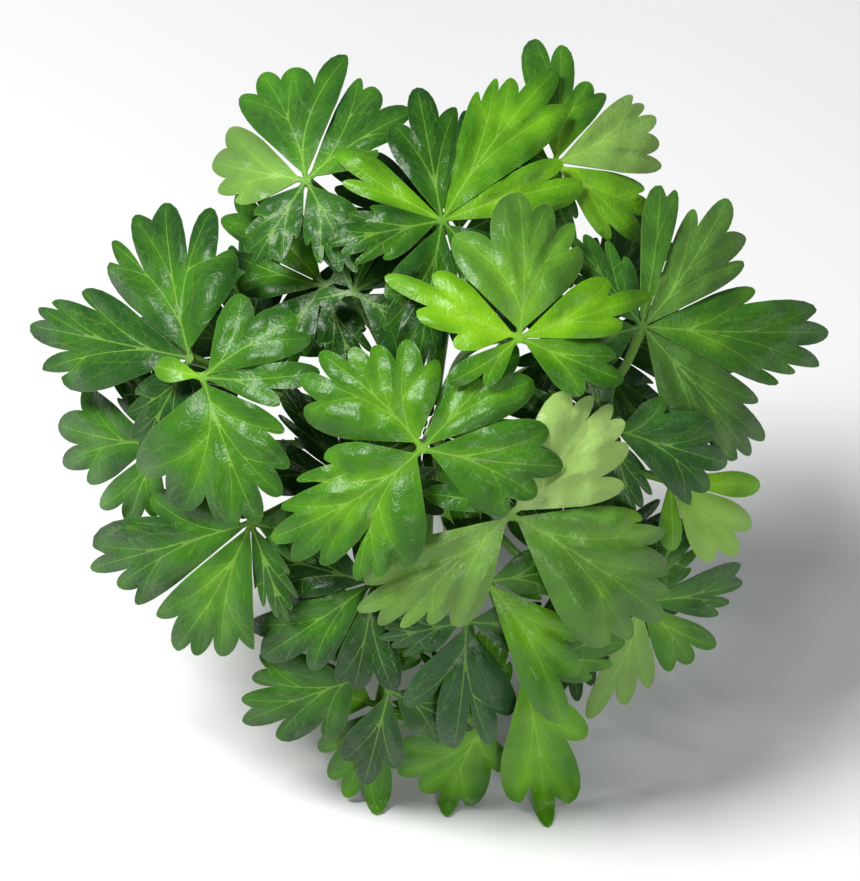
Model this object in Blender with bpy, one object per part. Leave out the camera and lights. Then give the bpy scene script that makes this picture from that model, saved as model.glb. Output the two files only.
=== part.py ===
"""Flat-leaf parsley bunch, lying as it was cut.

A rubber band gathers the stalks. They fan out from it into a crown of leaves, and each leaf is a
few lobed leaflets on one hub. Everything is worked out in the crown's own frame, in millimetres:
the band's centre is the origin and +Z runs up the bundle and out through the face of the crown.
The bunch is then laid down on its cut ends and its lowest leaves, with the crown towards -Y.
"""

import math
from collections import namedtuple

import bmesh
import bpy
import numpy as np
from mathutils import Vector, geometry
from mathutils.bvhtree import BVHTree

MM = 0.001

# Driving sizes, in millimetres unless the name says otherwise.
DOME_TOP = 94.0
DOME_FALL = 0.0055
LEAF_THICK = 0.6
LEAF_CLEAR = 0.8
HUB_R = 2.6
STALKLET_HALF = 0.8
PUSH_REACH = 13.0
GRID_STEP = 1.5
GRID_HALF = 117.0
STALK_R_CUT = 1.7
STALK_R_BAND = 1.6
STALK_R_HUB = 1.1
STALK_PITCH = 3.6
STALK_SIDES = 6
CUT_Z = -68.0
CUT_SPLAY = 0.45
HUB_CLEAR = 0.35
BAND_WIDTH = 7.0
BAND_THICK = 1.5
BAND_CLEAR = 0.4
BAND_STEPS = 36
TILT = math.radians(39.0)
CUT_END_DROP = 17.0
FLOOR_SOFT = 7.0
SHOULDER = 0.62
CUP = 0.02
LOBE_DOME = 3.2
TOOTH_STEPS = (-1.0, -0.62, 0.0, 0.62)
FLANK_STEPS = 2
INNER_STEP = 8.5

# Each kind of piece by its colour and roughness.
SURFACES = {
    "tie": ((0.35, 0.12, 0.04), 0.55),
    "leaf": ((0.06, 0.22, 0.02), 0.4),
    "stalk": ((0.2, 0.4, 0.06), 0.45),
}

# A leaflet's lobes each list their tooth tips. Rise and droop are heights at the tip, as shares of
# the length. Roll tips the blade about its midrib, fold lifts its two halves, cleft is how far in
# the notches between lobes reach, and flare is the angle its flanks stand outside the end teeth.
Blade = namedtuple("Blade", "lobes rise droop roll fold cleft flare")
Leaf = namedtuple("Leaf", "hub tier blades")
Tooth = namedtuple("Tooth", "angle radius notch_before notch_after start end lobe")


def blade(*lobes, rise=0.12, droop=0.25, roll=0.0, fold=0.12, cleft=0.8, flare=12.0):
    return Blade(lobes, rise, droop, roll, fold, cleft, flare)


# The teeth of a plain leaflet, lobe by lobe: angle over its half-angle, and radius over its length.
FAN_LOBES = (
    ((-1.0, 0.62), (-0.7, 0.8)),
    ((-0.26, 0.93), (0.03, 1.0), (0.3, 0.9)),
    ((0.72, 0.83), (1.0, 0.6)),
)


def fan(hub, heading, length, width, flare=9.0):
    """A three-lobed leaflet of a plain shape, for leaves that are mostly hidden."""
    half = math.degrees(math.atan2(width * 0.5, length * 0.66))
    lobes = []
    for lobe in FAN_LOBES:
        turned = [(math.radians(heading + half * a), length * r) for a, r in lobe]
        lobes.append(tuple((hub[0] + r * math.cos(a), hub[1] + r * math.sin(a)) for a, r in turned))
    return blade(*lobes, flare=flare)


def leaf(hub, tier, *parts):
    """A leaf from its leaflets: drawn ones, and plain ones given as heading, length and width."""
    return Leaf(hub, tier, [part if isinstance(part, Blade) else fan(hub, *part) for part in parts])


# The crown, from its lowest leaf to its highest: each leaf's hub, its height above or below the
# crown's dome, and its leaflets by the tips of their teeth.
LEAVES = [
    # Lower leaves that show from the sides.
    leaf((-46, 21), -40, (155, 38, 26), (96, 34, 22), (213, 34, 22), (30, 38, 24)),
    leaf((42, 25), -40, (-4, 46, 26), (62, 46, 24), (-58, 36, 22), (222, 26, 22)),
    leaf((8, 52), -38, (86, 36, 24), (150, 40, 24), (29, 34, 20), (-42, 40, 26)),
    leaf(
        (36, -36), -38,
        (-29, 38, 22), (-84, 37, 24), (19, 38, 21), (67, 38, 21), (117, 33, 18),
    ),
    # Deep leaves seen in the gaps between the upper ones.
    leaf(
        (-20, -13), -20,
        (80, 28, 14), (125, 31, 12), (166, 34, 15), (245, 40, 20), (290, 26, 14), (-10, 27, 18),
    ),
    leaf(
        (-27, 38), -19,
        blade(((-55, 57), (-51, 64)), ((-47, 66), (-38, 60))),
        blade(((-52, 47), (-50, 39)), flare=15),
        (28, 24, 14), (233, 32, 17), (290, 26, 14),
    ),
    leaf(
        (-19, 36), -11,
        blade(((1, 52),), ((8, 45),), flare=12),
        blade(((2, 31),), ((-1, 24), (-7, 19)), flare=10),
        blade(((-15, 53), (-11, 57)), flare=10),
        blade(((-31, 57),), flare=14),
        blade(((-29, 34),), flare=22),
    ),
    # Lower rim.
    leaf(
        (-13, -71), -8,
        blade(((-29, -84),), ((-26, -92), (-22, -97)), ((-14, -101),), cleft=0.79),
        (160, 22, 16),
    ),
    leaf(
        (16, -75), -6,
        blade(((-9, -81), (-8, -90)), ((-2, -95),), ((4.5, -101.5), (10, -99)), ((20, -90),), cleft=0.86),
        (92, 27, 12), (134, 26, 13), (172, 28, 10),
    ),
    leaf(
        (55, -44), -9,
        blade(((83, -35), (84, -40)), ((80, -45), (77, -48)), flare=6),
        blade(((76.5, -57),), ((70, -61), (64, -63))),
        blade(((58, -67.5),), ((51.5, -72),), ((42, -75.5),), cleft=0.79),
        (60, 26, 18), (152, 30, 22), (212, 30, 16),
    ),
    leaf(
        (-70, -3), -10,
        blade(((-92, 12), (-99.5, 2)), ((-98.5, -8), (-91, -13)), flare=9),
        blade(((-87, -20),), ((-79, -24), (-72, -22))),
        (320, 30, 20), (109, 28, 17),
    ),
    leaf(
        (-17, -63), -3,
        blade(((-44, -58), (-46, -64)), ((-49, -70), (-49, -76)), ((-40, -80),), ((-27, -80),)),
        (112, 28, 20), (45, 26, 16),
    ),
    # Upper rim.
    leaf(
        (-31.5, 65), 0,
        blade(((-22, 101),), ((-36, 97), (-44, 96), (-50, 90)), cleft=0.83),
        blade(((-18, 94), (-14, 91)), ((-4, 84), (-5, 79)), ((-13, 73),), cleft=0.85),
        blade(((-53, 81),), ((-57, 71),), ((-55, 63), (-50, 60)), cleft=0.90),
        (298, 28, 18), (238, 26, 15),
    ),
    leaf(
        (33, 70), -6,
        blade(((29, 107),), ((36, 105),), ((43, 94), (47.5, 91)), cleft=0.83),
        blade(((55, 91), (58, 88.5)), ((61, 85), (61.5, 77.5)), ((62, 71),), cleft=0.86),
        blade(((57, 64), (59, 59)), ((55, 50),), ((47, 50),), cleft=0.83),
        (266, 26, 15), (214, 26, 15), (157, 22, 14),
    ),
    leaf(
        (3.5, 54), -3,
        blade(((13, 90), (18, 94)), ((22, 94), (34, 97)), ((36, 86),), cleft=0.91),
        blade(((7, 85),), ((-3, 90.5),), ((-9, 80),), cleft=0.89),
        blade(((35, 70),), ((40, 65),), flare=13),
        blade(((-24, 72),), ((-22, 64),), flare=12),
        (192, 30, 16), (260, 40, 24), (311, 28, 17),
    ),
    # The middle of the crown, from its lower leaves up.
    leaf((-10, -66), -1, blade(((-22, -86),), ((-17, -93),), ((-9, -88),), cleft=0.89), (-28, 24, 18)),
    leaf(
        (-14, -38), -6,
        blade(((-47, -50), (-43, -58)), ((-30, -61),), cleft=0.84),
        blade(((-23, -64), (-19, -66)), ((-9, -66),), cleft=0.78, flare=10),
        (165, 32, 20),
    ),
    leaf(
        (9.5, -48), -3,
        blade(((-6, -70),), ((6.5, -82),), ((16, -81), (21, -73)), cleft=0.55),
        (355, 24, 15), (190, 22, 14),
    ),
    leaf(
        (62, -12), -2,
        blade(((87, -14),), flare=12),
        blade(((84.5, -25),), ((81, -32), (74, -33.5)), cleft=0.83),
        blade(((63, -30.5),), flare=18),
        (108, 22, 14),
    ),
    leaf(
        (-45, -23), 0,
        blade(((-72, -17),), ((-89, -30), (-90, -36)), ((-82, -40), (-77, -45)), cleft=0.88),
        blade(((-71, -48),), ((-66, -57), (-61, -58)), ((-54, -58), (-45, -56)), cleft=0.87),
        (349, 24, 17), (290, 27, 11),
    ),
    leaf(
        (-61, 19), 0,
        blade(((-84.5, 45), (-84, 51)), ((-78, 58), (-70, 61)), ((-57, 59), (-51, 47)), cleft=0.66),
        blade(
            ((-92, 37.5),), ((-101, 35), (-105, 33.5), (-107.5, 29)), ((-103, 17), (-97, 14.5)),
            cleft=0.81,
        ),
        (240, 28, 20),
    ),
    leaf(
        (54.5, 27), 2,
        blade(((61, 65), (65, 64)), flare=9),
        blade(((70, 59),), ((80, 62.5), (84, 52)), ((83, 45),), cleft=0.88),
        blade(((86, 37.5),), ((104, 33), (107.5, 27)), ((104.5, 18), (97, 16)), ((92, 13),), cleft=0.85),
        blade(((86, 8),), ((88, -2),), ((84, -6), (80, -7)), ((70, -7),), cleft=0.90),
        (128, 30, 18), (195, 28, 20),
    ),
    leaf(
        (24, -61), 0,
        blade(((24, -98),), ((31.5, -104), (37.5, -98.5)), ((41, -80),), cleft=0.87),
        (22, 30, 22),
    ),
    leaf(
        (46, 1), 4,
        blade(((60, 8),), ((74, 0), (77, -8)), ((72, -14.5), (67, -18.5)), cleft=0.87),
        (118, 26, 15), (166, 30, 12), (221, 28, 20), (284, 24, 15),
    ),
    leaf(
        (14.5, -37.5), 3,
        blade(((39.5, -52),), ((38.5, -62),), ((35, -75),), cleft=0.85, flare=10),
        (8, 24, 15), (107, 24, 14),
    ),
    leaf(
        (-57, 14), 7,
        blade(((-47, 35),), ((-33, 29), (-29.5, 24)), cleft=0.85),
        blade(((-27, 15),), ((-37, 7),), flare=10),
        blade(
            ((-74, -11), (-62, -20)), ((-49, -24), (-43, -23)), ((-37, -16), (-35, -9)), ((-36, 0),),
            cleft=0.85,
        ),
        blade(((-70, 17),), flare=22),
    ),
    leaf(
        (20.5, -20.5), 7,
        blade(
            ((-16, -38),), ((-18, -45), (-12.5, -48.5)), ((-7, -49), (0, -48)), ((6, -48.5),),
            cleft=0.88,
        ),
        blade(((-1, -15),), ((3, -8),), flare=10),
        blade(((35, 10), (41, 9)), ((46, 7), (49, 3), (50, -3)), ((49, -13),), cleft=0.82),
        blade(
            ((54, -22), (60.5, -25)), ((61.5, -36), (62, -42), (61, -48)), ((52, -53), (46, -54)),
            cleft=0.87,
        ),
    ),
    leaf(
        (-1.5, -4), 9,
        blade(((-31, 6), (-32, 14)), ((-27, 20), (-19, 21), (-13.5, 21.5)), ((-5.5, 23), (2, 18))),
        blade(((8, 17),), ((22, 22),), ((26, 13),), cleft=0.91),
        blade(((30, 0),), ((33.5, -8.5),), ((27, -15.5), (20, -20)), cleft=0.91),
        blade(
            ((-26, -6.5), (-33, -12)),
            ((-37, -19), (-39.5, -27), (-34, -32), (-27, -33)),
            ((-18, -37), (-13, -36), (-6, -33.5)),
            cleft=0.58,
        ),
    ),
    leaf(
        (22.5, 23.5), 9,
        blade(((38, 47), (37, 53)), ((30, 58), (23, 61)), ((7, 50),), cleft=0.82),
        blade(((1, 39.5),), ((-11, 39),), ((-3, 30),), ((6, 22),), cleft=0.90),
        blade(((46, 38),), ((57, 35),), ((49, 27.5),), cleft=0.90),
        blade(((47, 19),), ((49, 13),), ((38.5, 9.5),), cleft=0.91),
        blade(((5, 12),), ((14, 11.5),), cleft=0.83),
    ),
]


def wrap(angle):
    return (angle + math.pi) % (2.0 * math.pi) - math.pi


def polar(hub, point):
    dx, dy = point[0] - hub[0], point[1] - hub[1]
    return math.atan2(dy, dx), math.hypot(dx, dy)


def heading_of(hub, form):
    tips = [polar(hub, tip) for lobe in form.lobes for tip in lobe]
    return math.atan2(sum(r * math.sin(a) for a, r in tips), sum(r * math.cos(a) for a, r in tips))


def teeth_of(hub, form, heading, flares):
    """The teeth of one leaflet, right to left, as angles from its heading and radii from its hub."""
    tips = []
    for number, lobe in enumerate(form.lobes):
        for tip in lobe:
            angle, radius = polar(hub, tip)
            tips.append((wrap(angle - heading), radius, number))
    tips.sort()
    notches = []
    for (a0, r0, lobe0), (a1, r1, lobe1) in zip(tips, tips[1:]):
        low = min(r0, r1)
        depth = form.cleft if lobe0 != lobe1 else 0.94 - 0.14 * min(a1 - a0, 0.6)
        split = 0.5 + 0.12 * (r0 - r1) / low
        notches.append((a0 + (a1 - a0) * split, low * depth))
    first = (tips[0][0] - flares[0], tips[0][1] * SHOULDER)
    last = (tips[-1][0] + flares[1], tips[-1][1] * SHOULDER)
    edges = [first] + notches + [last]
    return [
        Tooth(angle, radius, before[1], after[1], before[0], after[0], lobe)
        for (angle, radius, lobe), before, after in zip(tips, edges, edges[1:])
    ]


def tooth_radius(tooth, step):
    """How far out the edge is across one tooth; step runs -1 at one notch, 0 at the tip, 1 at the other."""
    side = tooth.notch_before if step < 0 else tooth.notch_after
    middle = 0.5 * (tooth.notch_before + tooth.notch_after)
    floor = middle + (side - middle) * abs(step)
    return floor + (tooth.radius - floor) * max(0.0, 1.0 - step * step) ** 0.72


def tooth_angle(tooth, step):
    reach = tooth.angle - tooth.start if step < 0 else tooth.end - tooth.angle
    return tooth.angle + step * reach


def flank(base, shoulder, steps):
    """The hollow curve from the leaflet's stalk up to its first tooth, without either end."""
    middle = (base[0] * 0.56 + shoulder[0] * 0.44, base[1] + (shoulder[1] - base[1]) * 0.52)
    points = []
    for step in range(1, steps + 1):
        f = step / (steps + 1)
        points.append(tuple(
            (1 - f) ** 2 * base[k] + 2 * f * (1 - f) * middle[k] + f * f * shoulder[k] for k in (0, 1)
        ))
    return points


class Leaflet:
    """One leaflet in its leaf: its outline in its own (across, along) plan, and its height."""

    def __init__(self, hub, form, heading, attach, flares, seed):
        self.hub, self.form, self.heading = hub, form, heading
        self.teeth = teeth_of(hub, form, heading, flares)
        self.length = max(tooth.radius for tooth in self.teeth)
        self.seed = seed
        spread = math.asin(STALKLET_HALF / HUB_R)
        self.base = [self.place(attach - heading + side * spread, HUB_R) for side in (-1, 1)]
        self.spans = []
        for number in sorted({tooth.lobe for tooth in self.teeth}):
            ends = [a for tooth in self.teeth if tooth.lobe == number for a in (tooth.start, tooth.end)]
            self.spans.append((0.5 * (min(ends) + max(ends)), 0.5 * (max(ends) - min(ends))))

    @staticmethod
    def place(angle, radius):
        return (-radius * math.sin(angle), radius * math.cos(angle))

    def outline(self, steps=TOOTH_STEPS, flank_steps=FLANK_STEPS):
        points = []
        for tooth in self.teeth:
            points += [self.place(tooth_angle(tooth, s), tooth_radius(tooth, s)) for s in steps]
        last = self.teeth[-1]
        points.append(self.place(last.end, last.notch_after))
        up = flank(self.base[0], points[0], flank_steps)
        down = flank(self.base[1], points[-1], flank_steps)[::-1]
        return [self.base[0]] + up + points + down + [self.base[1]]

    def to_crown(self, across, along):
        """From the leaflet's plan to the crown's plan; a positive angle is to its left."""
        cos, sin = math.cos(self.heading), math.sin(self.heading)
        return self.hub[0] + along * cos + across * sin, self.hub[1] + along * sin - across * cos

    def relief(self, across, along):
        """The leaflet's own height over the dome: arched, folded, rolled, each lobe a little domed."""
        reach = np.clip((np.hypot(across, along) - HUB_R) / self.length, 0.0, 1.2)
        ramp = np.clip(reach * 3.0, 0.0, 1.0)
        ramp = ramp * ramp * (3.0 - 2.0 * ramp)
        side = np.abs(across)
        droop = self.form.droop + 0.07 * math.sin(5.1 * self.seed)
        roll = math.radians(self.form.roll + 8.0 * math.sin(3.3 * self.seed))
        fold = self.form.fold + 0.07 * math.sin(2.2 * self.seed + 1.0)
        height = self.length * (self.form.rise * reach - droop * reach**2.2)
        height = height + ramp * (math.tan(roll) * across + fold * side - CUP * side**2)
        around = np.arctan2(-across, along + 1e-6)
        for number, (middle, half) in enumerate(self.spans):
            within = np.clip((around - middle) / half, -1.0, 1.0)
            size = min(LOBE_DOME, 0.3 * half * self.length)
            size *= 0.75 + 0.45 * math.sin(6.1 * self.seed + 2.4 * number)
            height = height + size * reach**1.5 * 0.5 * (1.0 + np.cos(math.pi * within))
        for order, size in ((5.0, 0.9), (8.0, 0.8)):
            height = height + size * reach**2 * np.cos(order * around + 2.3 * self.seed * order)
        return height


def attach_angles(headings):
    """Where each leaflet meets the hub: at its heading, or moved over to leave its neighbour room."""
    spots = list(headings)
    order = sorted(range(len(spots)), key=lambda i: spots[i])
    room = math.radians(42.0)
    for _ in range(60):
        for a, b in zip(order, order[1:] + order[:1]):
            short = room - (spots[b] - spots[a]) % (2.0 * math.pi)
            if len(order) > 1 and short > 0:
                spots[a] -= short * 0.5
                spots[b] += short * 0.5
    return spots


def sector_flares(hub, leaf, headings):
    """How far each leaflet's flanks may open before they reach the leaflets on either side."""
    ends = []
    for form, heading in zip(leaf.blades, headings):
        angles = [wrap(polar(hub, tip)[0] - heading) for lobe in form.lobes for tip in lobe]
        ends.append((heading + min(angles), heading + max(angles)))
    flares = []
    for i, form in enumerate(leaf.blades):
        pair = []
        for side in (0, 1):
            gaps = [2.0 * math.pi]
            for j, other in enumerate(ends):
                if i != j:
                    gap = ends[i][0] - other[1] if side == 0 else other[0] - ends[i][1]
                    gaps.append(gap % (2.0 * math.pi))
            room = max(0.5 * min(gaps) - math.radians(1.2), 0.004)
            pair.append(min(math.radians(form.flare), room))
        flares.append(pair)
    return flares


def leaflets_of(leaf, number):
    headings = [heading_of(leaf.hub, form) for form in leaf.blades]
    spots = attach_angles(headings)
    flares = sector_flares(leaf.hub, leaf, headings)
    return [
        Leaflet(leaf.hub, form, heading, spot, pair, number + 0.37 * k)
        for k, (form, heading, spot, pair) in enumerate(zip(leaf.blades, headings, spots, flares))
    ]


def floor_height(y):
    """The floor's height in the crown's frame, once the bunch lies tilted on it."""
    lift = math.cos(TILT) * CUT_END_DROP - math.sin(TILT) * CUT_Z
    return (-lift - math.cos(TILT) * y) / math.sin(TILT)


def dome(x, y, tier):
    """The height of the crown's dome, at a leaf's own step above or below it."""
    return DOME_TOP - DOME_FALL * (x * x + y * y) + tier


def off_floor(height, y):
    """Keeps a height off the floor, easing it up where the two would meet."""
    floor = floor_height(y) + (LEAF_THICK + 0.1) / math.sin(TILT)
    return 0.5 * (height + floor + np.sqrt((height - floor) ** 2 + FLOOR_SOFT**2))


class Pile:
    """The heights of the leaves laid so far, on a square grid over the crown's plan."""

    def __init__(self):
        self.axis = np.arange(-GRID_HALF, GRID_HALF + GRID_STEP, GRID_STEP)
        self.gx, self.gy = np.meshgrid(self.axis, self.axis, indexing="ij")
        self.top = np.full(self.gx.shape, -1000.0)

    def cover(self, leaflet):
        """Grid cells under a leaflet, with their place in its own plan."""
        dx, dy = self.gx - leaflet.hub[0], self.gy - leaflet.hub[1]
        cos, sin = math.cos(leaflet.heading), math.sin(leaflet.heading)
        along, across = dx * cos + dy * sin, dx * sin - dy * cos
        near = np.hypot(dx, dy) < leaflet.length * 1.1
        outline = leaflet.outline()
        inside = np.zeros(near.shape, bool)
        for (x0, y0), (x1, y1) in zip(outline, outline[1:] + outline[:1]):
            if y0 != y1:
                crosses = (y0 > along) != (y1 > along)
                inside ^= crosses & (across < (x1 - x0) * (along - y0) / (y1 - y0) + x0)
        return inside & near, across, along

    def lay(self, leaf, leaflets):
        """Raises a leaf until it clears the pile, adds it, and gives back the raise at each cell."""
        heights = np.full(self.gx.shape, -1000.0)
        base = dome(self.gx, self.gy, leaf.tier)
        for leaflet in leaflets:
            inside, across, along = self.cover(leaflet)
            own = off_floor(base + leaflet.relief(across, along), self.gy)
            heights = np.where(inside, np.maximum(heights, own), heights)
        near_hub = np.hypot(self.gx - leaf.hub[0], self.gy - leaf.hub[1]) < HUB_R + 1.0
        heights = np.where(near_hub, np.maximum(heights, off_floor(base, self.gy)), heights)
        covered = heights > -900.0
        slope = 0.6 + 2.0 * DOME_FALL * np.hypot(self.gx, self.gy)
        clear = (LEAF_THICK + LEAF_CLEAR) * np.sqrt(1.0 + slope**2)
        short = np.where(covered, spread_max(self.top) + clear - heights, 0.0)
        raised = smooth_raise(self.gx, self.gy, short)
        self.top = np.where(covered, np.maximum(self.top, heights + raised), self.top)
        return raised

    def sample(self, field, x, y):
        u = np.clip((np.asarray(x) + GRID_HALF) / GRID_STEP, 0, len(self.axis) - 1.001)
        v = np.clip((np.asarray(y) + GRID_HALF) / GRID_STEP, 0, len(self.axis) - 1.001)
        i, j = u.astype(int), v.astype(int)
        fu, fv = u - i, v - j
        low = field[i, j] * (1 - fv) + field[i, j + 1] * fv
        high = field[i + 1, j] * (1 - fv) + field[i + 1, j + 1] * fv
        return low * (1 - fu) + high * fu


def spread_max(field):
    """Each cell's highest neighbour, so that edges between cells are cleared too."""
    wide = field.copy()
    for di in (-1, 0, 1):
        for dj in (-1, 0, 1):
            wide = np.maximum(wide, np.roll(np.roll(field, di, 0), dj, 1))
    return wide


def smooth_raise(gx, gy, short):
    """A smooth field that is at least as high as every shortfall."""
    needy = short > 0.0
    raised = np.zeros(short.shape)
    px, py, need = gx[needy], gy[needy], short[needy]
    for x, y, n in sorted(zip(px, py, need), key=lambda item: -item[2]):
        i, j = int(round((x + GRID_HALF) / GRID_STEP)), int(round((y + GRID_HALF) / GRID_STEP))
        if raised[i, j] < n:
            fall = np.exp(-((gx - x) ** 2 + (gy - y) ** 2) / PUSH_REACH**2)
            raised = np.maximum(raised, n * 1.02 * fall)
    return raised


def hub_ring(leaf, leaflets):
    """The hub's corners in order round it: two for each leaflet, and one in each wide gap."""
    corners = []
    for k, leaflet in enumerate(leaflets):
        for side in (0, 1):
            x, y = leaflet.to_crown(*leaflet.base[side])
            corners.append((math.atan2(y - leaf.hub[1], x - leaf.hub[0]), (k, side), (x, y)))
    corners.sort(key=lambda c: c[0])
    ring = []
    for here, after in zip(corners, corners[1:] + corners[:1]):
        ring.append(here)
        gap = (after[0] - here[0]) % (2.0 * math.pi)
        pieces = int(gap / math.radians(100.0))
        for n in range(pieces):
            angle = here[0] + gap * (n + 1) / (pieces + 1)
            spot = (leaf.hub[0] + HUB_R * math.cos(angle), leaf.hub[1] + HUB_R * math.sin(angle))
            ring.append((angle, None, spot))
    return ring


def inner_points(outline, step):
    """Points inside an outline on a staggered grid, clear of its edge."""
    shape = np.array(outline)
    low, high = shape.min(0), shape.max(0)
    points = []
    row = 0
    y = low[1] + step * 0.7
    while y < high[1]:
        x = low[0] + (step * 0.5 if row % 2 else 0.0)
        while x < high[0]:
            spot = Vector((x, y))
            if inside_outline(outline, spot) and edge_distance(outline, spot) > step * 0.38:
                points.append((x, y))
            x += step
        y += step * 0.87
        row += 1
    return points


def inside_outline(outline, spot):
    inside = False
    for (x0, y0), (x1, y1) in zip(outline, outline[1:] + outline[:1]):
        if (y0 > spot.y) != (y1 > spot.y) and spot.x < (x1 - x0) * (spot.y - y0) / (y1 - y0) + x0:
            inside = not inside
    return inside


def edge_distance(outline, spot):
    best = 1e9
    for a, b in zip(outline, outline[1:] + outline[:1]):
        a, b = Vector(a), Vector(b)
        near, share = geometry.intersect_point_line(spot, a, b)
        near = a.lerp(b, min(max(share, 0.0), 1.0))
        best = min(best, (near - spot).length)
    return best


def leaf_sheet(leaf, leaflets, pile, raised):
    """The leaf's upper skin: points and triangles in the crown's frame."""
    points, faces = [], []
    ring = hub_ring(leaf, leaflets)
    corner_at = {}
    for _, key, (x, y) in ring:
        corner_at[key if key else (x, y)] = len(points)
        points.append((x, y, 0.0))
    points.append((leaf.hub[0], leaf.hub[1], 0.0))
    count = len(ring)
    faces += [(count, i, (i + 1) % count) for i in range(count)]
    for k, leaflet in enumerate(leaflets):
        outline = leaflet.outline()
        plan = outline + inner_points(outline, INNER_STEP)
        loop = [(i, (i + 1) % len(outline)) for i in range(len(outline))]
        flat = [Vector(p) for p in plan]
        out = geometry.delaunay_2d_cdt(flat, loop, [], 1, 1e-4)
        ids = []
        for vertex, origin in zip(out[0], out[3]):
            if 0 in origin:
                ids.append(corner_at[(k, 0)])
            elif len(outline) - 1 in origin:
                ids.append(corner_at[(k, 1)])
            else:
                ids.append(len(points))
                x, y = leaflet.to_crown(vertex.x, vertex.y)
                points.append((x, y, float(leaflet.relief(vertex.x, vertex.y))))
        faces += [tuple(ids[i] for i in face) for face in out[2]]
    spots = np.array(points)
    x, y = spots[:, 0], spots[:, 1]
    height = off_floor(dome(x, y, leaf.tier) + spots[:, 2], y) + pile.sample(raised, x, y)
    return np.column_stack((x, y, height)), faces


def upward(points, faces):
    """Turns every triangle to face up the crown's axis."""
    turned = []
    for a, b, c in faces:
        ab, ac = points[b] - points[a], points[c] - points[a]
        turned.append((a, b, c) if ab[0] * ac[1] - ab[1] * ac[0] > 0 else (a, c, b))
    return turned


def thicken(points, faces, thick):
    """A closed thin solid under a sheet: the sheet, its offset underside and the rim between."""
    normals = np.zeros(points.shape)
    for face in faces:
        a, b, c = (points[i] for i in face)
        weight = np.cross(b - a, c - a)
        for i in face:
            normals[i] += weight
    normals /= np.linalg.norm(normals, axis=1)[:, None]
    count = len(points)
    solid = np.vstack((points, points - normals * thick))
    skin = list(faces) + [(a + count, c + count, b + count) for a, b, c in faces]
    edges = {(a, b) for f in faces for a, b in zip(f, f[1:] + f[:1])}
    for a, b in sorted(edges):
        if (b, a) not in edges:
            skin += [(b, a, a + count), (b, a + count, b + count)]
    return solid, skin


def stalk_slots(count):
    """Places in the band for the stalks: the innermost places of a honeycomb."""
    spots = []
    for row in range(-6, 7):
        for column in range(-6, 7):
            x = (column + 0.5 * (row % 2)) * STALK_PITCH
            spots.append((x, row * STALK_PITCH * math.sqrt(0.75)))
    spots.sort(key=lambda s: (round(math.hypot(*s), 3), math.atan2(s[1], s[0])))
    return spots[:count]


def match_slots(hubs, slots):
    """Gives each hub a slot, with the stalks that lean out most on the outside of the bundle."""
    order = list(range(len(hubs)))

    def cost(hub, slot):
        lean = 7.0 / hub.z
        return (hub.x * lean - slot[0]) ** 2 + (hub.y * lean - slot[1]) ** 2

    swapped = True
    while swapped:
        swapped = False
        for i in range(len(order)):
            for j in range(i):
                now = cost(hubs[i], slots[order[i]]) + cost(hubs[j], slots[order[j]])
                other = cost(hubs[i], slots[order[j]]) + cost(hubs[j], slots[order[i]])
                if other < now - 1e-9:
                    order[i], order[j] = order[j], order[i]
                    swapped = True
    return [slots[k] for k in order]


def stalk_path(slot, top, power, bow, steps=11):
    """The stalk's centre line, from its cut end through the band to under its hub."""
    path = []
    for share in (1.0, 0.66, 0.33, 0.07):
        grow = 1.0 + CUT_SPLAY * (share - 0.07) ** 1.5
        path.append(Vector((slot[0] * grow, slot[1] * grow, CUT_Z * share)))
    start = 0.7 * BAND_WIDTH
    base = Vector((slot[0], slot[1], start))
    out = Vector((top.x - slot[0], top.y - slot[1], 0.0))
    aside = Vector((-out.y, out.x, 0.0)).normalized() if out.length > 1e-6 else Vector((1.0, 0.0, 0.0))
    for n in range(steps):
        q = n / (steps - 1)
        sway = 6.75 * bow * q * q * (1.0 - q)
        path.append(base + out * q**power + aside * sway + Vector((0.0, 0.0, (top.z - start) * q)))
    return path


def tube(path, radius_at, sides):
    """A closed tube along a path."""
    points, faces = [], []
    side = Vector((1.0, 0.0, 0.0))
    for n, spot in enumerate(path):
        ahead = path[min(n + 1, len(path) - 1)] - path[max(n - 1, 0)]
        ahead.normalize()
        side = (side - ahead * side.dot(ahead)).normalized()
        other = ahead.cross(side)
        for k in range(sides):
            turn = 2.0 * math.pi * k / sides
            points.append(spot + (side * math.cos(turn) + other * math.sin(turn)) * radius_at(spot.z, n))
    for n in range(len(path) - 1):
        for k in range(sides):
            a, b = n * sides + k, n * sides + (k + 1) % sides
            faces += [(a, b, b + sides), (a, b + sides, a + sides)]
    last = (len(path) - 1) * sides
    for k in range(1, sides - 1):
        faces += [(0, k + 1, k), (last, last + k, last + k + 1)]
    return np.array([tuple(p) for p in points]), faces


def stalk_radius(top_z):
    def radius(z, _):
        if z < 0.0:
            return STALK_R_BAND + (STALK_R_CUT - STALK_R_BAND) * z / CUT_Z
        return STALK_R_BAND + (STALK_R_HUB - STALK_R_BAND) * z / top_z
    return radius


def clear_path(slot, top, blades, laid):
    """The first of a few routes for a stalk that keeps clear of the leaves and the other stalks."""
    best, best_room = None, -1.0
    for power in (1.5, 1.25, 1.8, 2.3, 3.0):
        for bow in (0.0, 4.0, -4.0, 8.0, -8.0, 12.0, -12.0):
            path = stalk_path(slot, top, power, bow)
            room = path_room(path, top, blades, laid)
            if room > best_room + 0.05:
                best, best_room = path, room
            if best_room > 0.36:
                return best
    return best


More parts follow.
